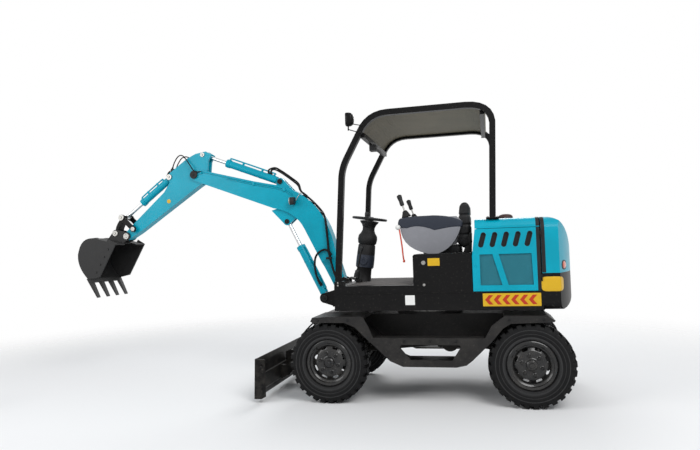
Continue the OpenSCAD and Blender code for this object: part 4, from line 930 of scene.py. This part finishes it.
# Distance of the travel levers from the centre plane, and how far their pedals lean, in degrees
TRAVEL_Y, PEDAL_LEAN = (-0.17, 0.17), -20
travel = Part("travel_levers", "seam")
for y in TRAVEL_Y:
    travel.lathe(((0.015, 0), (0.015, 0.06)), here(0.742, y, FLOOR_Z), UP, 20)
    travel.run(((0.75, y, 1.176), (0.738, y, 1.25), (0.712, y, 1.37), (0.69, y, 1.47)), 0.0095, 12)
    travel.block((0.69, y - 0.05, 1.16), (0.82, y + 0.05, 1.17), 0.003, PEDAL_LEAN)
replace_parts(travel.done(), "controls")
clamp = Part("column_clamp", "cap")
collar = ((0.077, 0.158), (0.0965, 0.164), (0.098, 0.2), (0.098, 0.262), (0.0965, 0.296), (0.08, 0.302))
clamp.lathe(collar, foot, lean, 48)
knob = ((0.048, 0), (0.048, 0.01), (0.04, 0.016), (0.018, 0.016), (0.014, 0.011))
clamp.lathe(knob, foot + lean * 0.232 + Vector((0, 0.094, 0)), OUT, 36).done()
stalk = Part("switch_stalks", "dark")
for s in (1, -1):
    start = foot + lean * 0.596
    way = ((0, s * 0.06, 0), (0.01, s * 0.13, 0.008), (0.015, s * 0.175, 0.02))
    stalk.tube([start + Vector(v) for v in way], 0.006, 10)
    tip = start + Vector((0.016, s * 0.186, 0.023))
    stalk.lathe(((0.009, -0.024), (0.011, 0), (0.009, 0.02)), tip, (0.05, s, 0.1), 16)
stalk.done()
pad_form = ((0.05, 0.02), (0.05, 0.029), (0.042, 0.036), (0.02, 0.038), (0.018, 0.034))
Part("wheel_horn_pad", "cap", "steering_wheel").lathe(pad_form, foot + lean * 0.672, lean, 40).done()
knob = ((0.012, 0), (0.02, 0.01), (0.0225, 0.03), (0.019, 0.048), (0.01, 0.054))
spinner = Part("spinner_knob", "dark", "steering_wheel")
spinner.lathe(knob, foot + lean * 0.7 + Vector((0, 0.177, 0)), lean, 28).done(60)

# Floor: ribbed mat, pedal pads and lever knobs
mat = Part("floor_mat", "mat", "upper_body", "dark_plastic")
mat.prism(round_box(0.1, 0.745, FLOOR_Z, FLOOR_Z + 0.0045, 0.002), -0.62, 0.62)
for k in range(31):
    x = 0.115 + k * 0.0203
    mat.prism([(x, 1.134), (x + 0.008, 1.134), (x + 0.006, 1.1375), (x + 0.002, 1.1375)], -0.6, 0.6)
mat.done()
pads = Part("pedal_pads", "liner")
knobs = Part("travel_knobs", "dark")
KNOB = ((0.011, 0), (0.017, 0.012), (0.021, 0.04), (0.018, 0.056), (0.008, 0.062))
BOOT = ((0.034, 0), (0.03, 0.024), (0.033, 0.032), (0.026, 0.058), (0.029, 0.066), (0.012, 0.09))
for y in TRAVEL_Y:
    for k in range(6):
        x = 0.698 + k * 0.02
        z = 1.1745 + (x - 0.755) * tan(radians(-PEDAL_LEAN))
        pads.block((x, y - 0.046, z), (x + 0.011, y + 0.046, z + 0.005), 0.001, PEDAL_LEAN)
    knobs.lathe(KNOB, here(0.69, y, 1.458), (-0.2, 0, 1), 28)
    knobs.lathe(BOOT, here(0.748, y, 1.186), (-0.2, 0, 1), 28)
pads.done()
knobs.done(60)


# Lamps, mirror and canopy fittings
LAMP_AT = here(1.477, 0.1273, 2.037)
glass = ((0.037, 0), (0.037, 0.003), (0.028, 0.008), (0.012, 0.01))
Part("boom_lamp_lens", "lens", "boom").lathe(glass, LAMP_AT, AHEAD, 36).done(60)
bezel = Part("boom_lamp_bezel", "bolt", "boom")
bezel.lathe(((0.037, -0.002), (0.043, -0.002), (0.043, 0.006), (0.037, 0.006)), LAMP_AT, AHEAD, 36, True)
WIRE = ((1.432, 0.1, 2.037), (1.425, 0.082, 2.05), (1.405, 0.078, 2.085), (1.37, 0.078, 2.13))
bezel.run(WIRE, 0.004, 8).done()
lo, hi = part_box("work_lamp")
centre = (Vector(lo) + Vector(hi)) / 2
glass = ((0.027, 0), (0.027, 0.002), (0.02, 0.006), (0.008, 0.008))
at = Vector((hi[0], centre.y, centre.z))
Part("canopy_lamp_lens", "lens").lathe(glass, at, AHEAD, 36).done(60)
fins = Part("canopy_lamp_fins", "dark")
back_x = lo[0] - SLEW_X
for k in range(6):
    z = lo[2] + 0.008 + k * (hi[2] - lo[2] - 0.016) / 5
    fins.block((back_x - 0.006, lo[1] + 0.006, z - 0.0015), (back_x + 0.001, hi[1] - 0.006, z + 0.0015))
fins.done()

studs = Part("canopy_bolts", "bolt")
for s in (1, -1):
    for dx in (-0.045, 0.045):
        for dy in (-0.03, 0.04):
            studs.bolt(here(-0.672 + dx, s * (HALF - 0.058) + dy, 1.744), UP, 0.018, 0.009)
    for dz in (0.008, 0.034):
        studs.bolt(here(0.818, s * 0.7002, FLOOR_Z + dz), (0, s, 0), 0.012, 0.005)
studs.done()

# Mirror: a domed shell on a short stem, held by two wires, with the glass on the driver's side
MIRROR = (
    bend((0.682, 2.798), (0.682, 2.815), (0.664, 2.815), 4)
    + bend((0.65, 2.815), (0.6, 2.812), (0.599, 2.764), 6)
    + bend((0.599, 2.738), (0.6, 2.682), (0.646, 2.681), 6)
    + bend((0.664, 2.681), (0.682, 2.681), (0.682, 2.698), 4)
)
middle = Vector((0.64, 2.748))


def mirror_rings(rows):
    """The mirror's outline at each y, shrunk to a share about its middle."""
    return [[here(middle.x + (x - middle.x) * k, y, middle.y + (z - middle.y) * k) for x, z in MIRROR]
            for y, k in rows]


DOME = ((0.722, 0.93), (0.72, 0.97), (0.722, 1.0), (0.744, 1.0), (0.762, 0.95), (0.774, 0.84), (0.781, 0.66),
        (0.785, 0.34))
shell = Part("mirror_shell", "black").rings(mirror_rings(DOME))
shell.run(((0.656, 0.735, 2.64), (0.656, 0.735, 2.668), (0.654, 0.738, 2.7)), 0.0065)
shell.run(((0.554, 0.696, 2.619), (0.59, 0.712, 2.63), (0.63, 0.73, 2.642), (0.66, 0.736, 2.652)), 0.0045)
shell.run(((0.536, 0.696, 2.69), (0.56, 0.712, 2.692), (0.59, 0.73, 2.696), (0.612, 0.74, 2.702)), 0.0045)
for x, z in ((0.554, 2.619), (0.536, 2.69)):
    shell.lathe(((0.013, -0.004), (0.013, 0.004), (0.01, 0.006), (0, 0.006)), here(x, HALF, z), OUT, 20)
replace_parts(shell.done(40), "side_mirror")
pane = mirror_rings(((0.7215, 0.88), (0.719, 0.88), (0.7186, 0.8)))
Part("mirror_glass", "chrome").rings(pane).done()

EXHAUST_X, EXHAUST_Y = -0.8, 0.2
hood = ((0.07, 0), (0.072, 0.012), (0.068, 0.026), (0.054, 0.038), (0.03, 0.045), (0, 0.047))
rain_hood = Part("exhaust_hood", "rust", "upper_body", "black_paint")
rain_hood.lathe(hood, here(EXHAUST_X, EXHAUST_Y, 1.744), UP, 48).done(60)


def bolt_circle(part, x, y, z, radius, start, count, d, h):
    for i in range(count):
        a = tau * (i + start) / count
        part.bolt(here(x + radius * cos(a), y + radius * sin(a), z), UP, d, h, False)
    part.done()


exhaust = Part("exhaust_grille", "iron")
bolt_circle(exhaust, EXHAUST_X, EXHAUST_Y, 1.742, 0.0735, 0.5, 4, 0.009, 0.005)


# Bolts of the slewing ring, the blade and the side frames
bolt_circle(Part("slew_bolts", "bolt", "chassis"), 0, 0, 0.842, 0.33, 0, 24, 0.014, 0.008)
frame_bolts = Part("frame_bolts", "seam", "chassis")
for s in (1, -1):
    for x in (-0.3, -0.06, 0.18):
        frame_bolts.bolt(here(x, s * 0.748, 0.612), (0, s, 0), 0.02, 0.008)
    for x in (1.02, 0.72, -0.78, -1.08):
        frame_bolts.bolt(here(x, s * 0.748, 0.806), (0, s, 0), 0.018, 0.008)
frame_bolts.done()
wear = Part("blade_edge", "worn", "blade", "black_paint")
wear.prism([(1.6835, 0.0402), (1.6835, 0.1), (1.672, 0.108), (1.669, 0.042)], -0.758, 0.758)
for k in range(8):
    wear.bolt(here(1.679, -0.66 + k * 1.32 / 7, 0.078), AHEAD, 0.017, 0.005, False)
wear.done()


# Bucket: wear strips on the wrapper, and side cutter bolts, from the bucket's pivot
BX, BZ = 3.5538, 1.7234
strips = Part("bucket_wear_strips", "worn_black", "bucket", "black_paint")
wrap = bend((0.25, -0.02), (0.436, 0.014), (0.48, -0.16), 7)
wrap += bend((0.49, -0.2), (0.504, -0.35), (0.35, -0.5), 7)
outer, inner = [], []
for before, (x, z), after in zip(wrap, wrap[1:], wrap[2:] + wrap[-1:]):
    t = Vector((after[0] - before[0], after[1] - before[1])).normalized()
    n = Vector((-t.y, t.x))
    outer.append((BX + x + n.x * 0.006, BZ + z + n.y * 0.006))
    inner.append((BX + x - n.x * 0.004, BZ + z - n.y * 0.004))
for y in (-0.2, 0, 0.2):
    strips.prism(outer + inner[::-1], y - 0.024, y + 0.024)
strips.done()
cutters = Part("bucket_cutter_bolts", "worn_black", "bucket", "black_paint")
a, b = Vector((0.06, -0.11)), Vector((0.262, -0.445))
for s in (1, -1):
    for t in (0.12, 0.38, 0.64, 0.9):
        p = a.lerp(b, t)
        cutters.bolt(here(BX + p.x, s * 0.305, BZ + p.y), (0, s, 0), 0.02, 0.008)
cutters.done()


# Seat: two padded pieces with bolsters and sewn channels, swelled by cloth pressure
VOXEL, CLOTH_FRAMES, PAD_FILL = 0.008, 20, 0.7
# How deep a sewn channel is, and how wide to either side
CHANNEL = 0.009


def bake(obj):
    """Applies the object's modifiers to its mesh."""
    graph = bpy.context.evaluated_depsgraph_get()
    mesh = bpy.data.meshes.new_from_object(obj.evaluated_get(graph))
    obj.modifiers.clear()
    obj.data = mesh


def pad(name, outline, half_width, cap, channels):
    """A cushion from its side view. No point moves past the cap. Channels are (axis, place in the frame)."""
    obj = Part(name, "leather").prism(outline, -half_width, half_width, 0.03, 3).done(180)
    remesh = obj.modifiers.new("remesh", "REMESH")
    remesh.mode, remesh.voxel_size = "VOXEL", VOXEL
    bake(obj)
    before = [v.co.copy() for v in obj.data.vertices]
    cloth = obj.modifiers.new("cloth", "CLOTH")
    cloth.settings.use_pressure = True
    cloth.settings.uniform_pressure_force = 4
    cloth.settings.effector_weights.gravity = 0
    cloth.settings.quality = 5
    cloth.point_cache.frame_start, cloth.point_cache.frame_end = 1, CLOTH_FRAMES
    for f in range(1, CLOTH_FRAMES + 1):
        scene.frame_set(f)
    bake(obj)
    scene.frame_set(1)
    for v, old in zip(obj.data.vertices, before):
        move = v.co - old
        if move.length > cap:
            move *= cap / move.length
        v.co = old + move
    normals = [v.normal.copy() for v in obj.data.vertices]
    for v, normal in zip(obj.data.vertices, normals):
        depth = 0
        for axis, place in channels:
            gap = abs(v.co[axis] - place)
            depth = max(depth, CHANNEL * exp(-((gap / CHANNEL) ** 2)))
        v.co -= normal * depth
    finer = obj.modifiers.new("finer", "SUBSURF")
    finer.levels = finer.render_levels = 1
    bake(obj)
    smooth(obj.data, 180)
    return obj


SEAT_Z = 1.38
cushion = pad(
    "seat_cushion", round_box(-0.362, 0.042, SEAT_Z + 0.012, SEAT_Z + 0.116, 0.04), 0.218, 0.012,
    ((1, 0.128), (1, -0.128), (0, SLEW_X - 0.02), (0, SLEW_X - 0.12), (0, SLEW_X - 0.22)),
)
BACK_REST = [(-0.378, SEAT_Z + 0.07), (-0.316, SEAT_Z + 0.136), (-0.362, 1.925), (-0.402, 1.942),
             (-0.442, 1.925), (-0.448, SEAT_Z + 0.1)]
back_rest = pad("seat_back", BACK_REST, 0.215, 0.01, ((1, 0.126), (1, -0.126), (2, 1.6), (2, 1.7), (2, 1.8)))
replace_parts(cushion, "seat")
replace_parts(back_rest, "seat")
PAN = [(-0.448, SEAT_Z + 0.0005), (0.036, SEAT_Z + 0.0005), (0.04, SEAT_Z + 0.024), (-0.368, SEAT_Z + 0.024),
       (-0.44, SEAT_Z + 0.24), (-0.457, SEAT_Z + 0.24)]
Part("seat_pan", "dark").prism(PAN, -0.205, 0.205, 0.004).done()


# Studio: a pale floor, three soft lamps and a pale world that the camera sees as white
FLOOR_REACH = 60
# Where the floor starts and ends thinning out, from the frame's origin
FADE = (3.2, 8.0)
# What the lamps point at
MIDDLE = Vector((-0.6, 0, 1.0))
# Name, place, power in watts and size of each lamp
LAMPS = (
    ("key", (-5.0, 6.5, 6.5), 470, 4.5),
    ("fill", (5.0, 5.5, 4.0), 190, 4.0),
    ("rim", (-1.0, -6.0, 6.0), 260, 4.0),
)


def studio():
    mesh = bpy.data.meshes.new("floor")
    corners = ((-1, -1), (1, -1), (1, 1), (-1, 1))
    mesh.from_pydata([(FLOOR_REACH * x, FLOOR_REACH * y, 0) for x, y in corners], [], [(0, 1, 2, 3)])
    floor = add_object("floor", mesh)
    n = new_material("floor")
    tone = n.mix(n.math("MULTIPLY", n.noise(2.0, 3.0), 0.05), (0.86, 0.86, 0.86), (0.8, 0.8, 0.8))
    n.put(Base_Color=tone, Roughness=0.9, Specular_IOR_Level=0.1)
    # The floor thins out far from the machine, into the white of the world
    far = n.add("VectorMath", operation="LENGTH")
    n.link(n.coord, far.inputs[0])
    fade = n.add("MapRange", interpolation_type="SMOOTHSTEP", From_Min=FADE[0], From_Max=FADE[1])
    n.link(far.outputs["Value"], fade.inputs["Value"])
    n.blend(fade.outputs[0], n.bsdf, n.add("BsdfTransparent"), "Material Output")
    mesh.materials.append(n.owner)
    world = bpy.data.worlds.new("world")
    scene.world = world
    w = Nodes(world)
    light = w.tree.nodes["Background"]
    w.feed((0.93, 0.96, 1.0), light.inputs["Color"])
    w.feed(0.5, light.inputs["Strength"])
    white = w.add("Background", Color=(1, 1, 1))
    rays = w.add("LightPath").outputs
    seen = w.math("MAXIMUM", rays["Is Camera Ray"], rays["Is Glossy Ray"])
    w.blend(w.math("MAXIMUM", seen, rays["Is Transmission Ray"]), light, white, "World Output")
    for name, at, power, width in LAMPS:
        data = bpy.data.lights.new(name, "AREA")
        data.energy, data.size = power, width
        lamp = add_object(name, data)
        lamp.location = at
        lamp.rotation_euler = (MIDDLE - Vector(at)).to_track_quat("-Z", "Y").to_euler()


studio()
scene.view_settings.view_transform = "Standard"
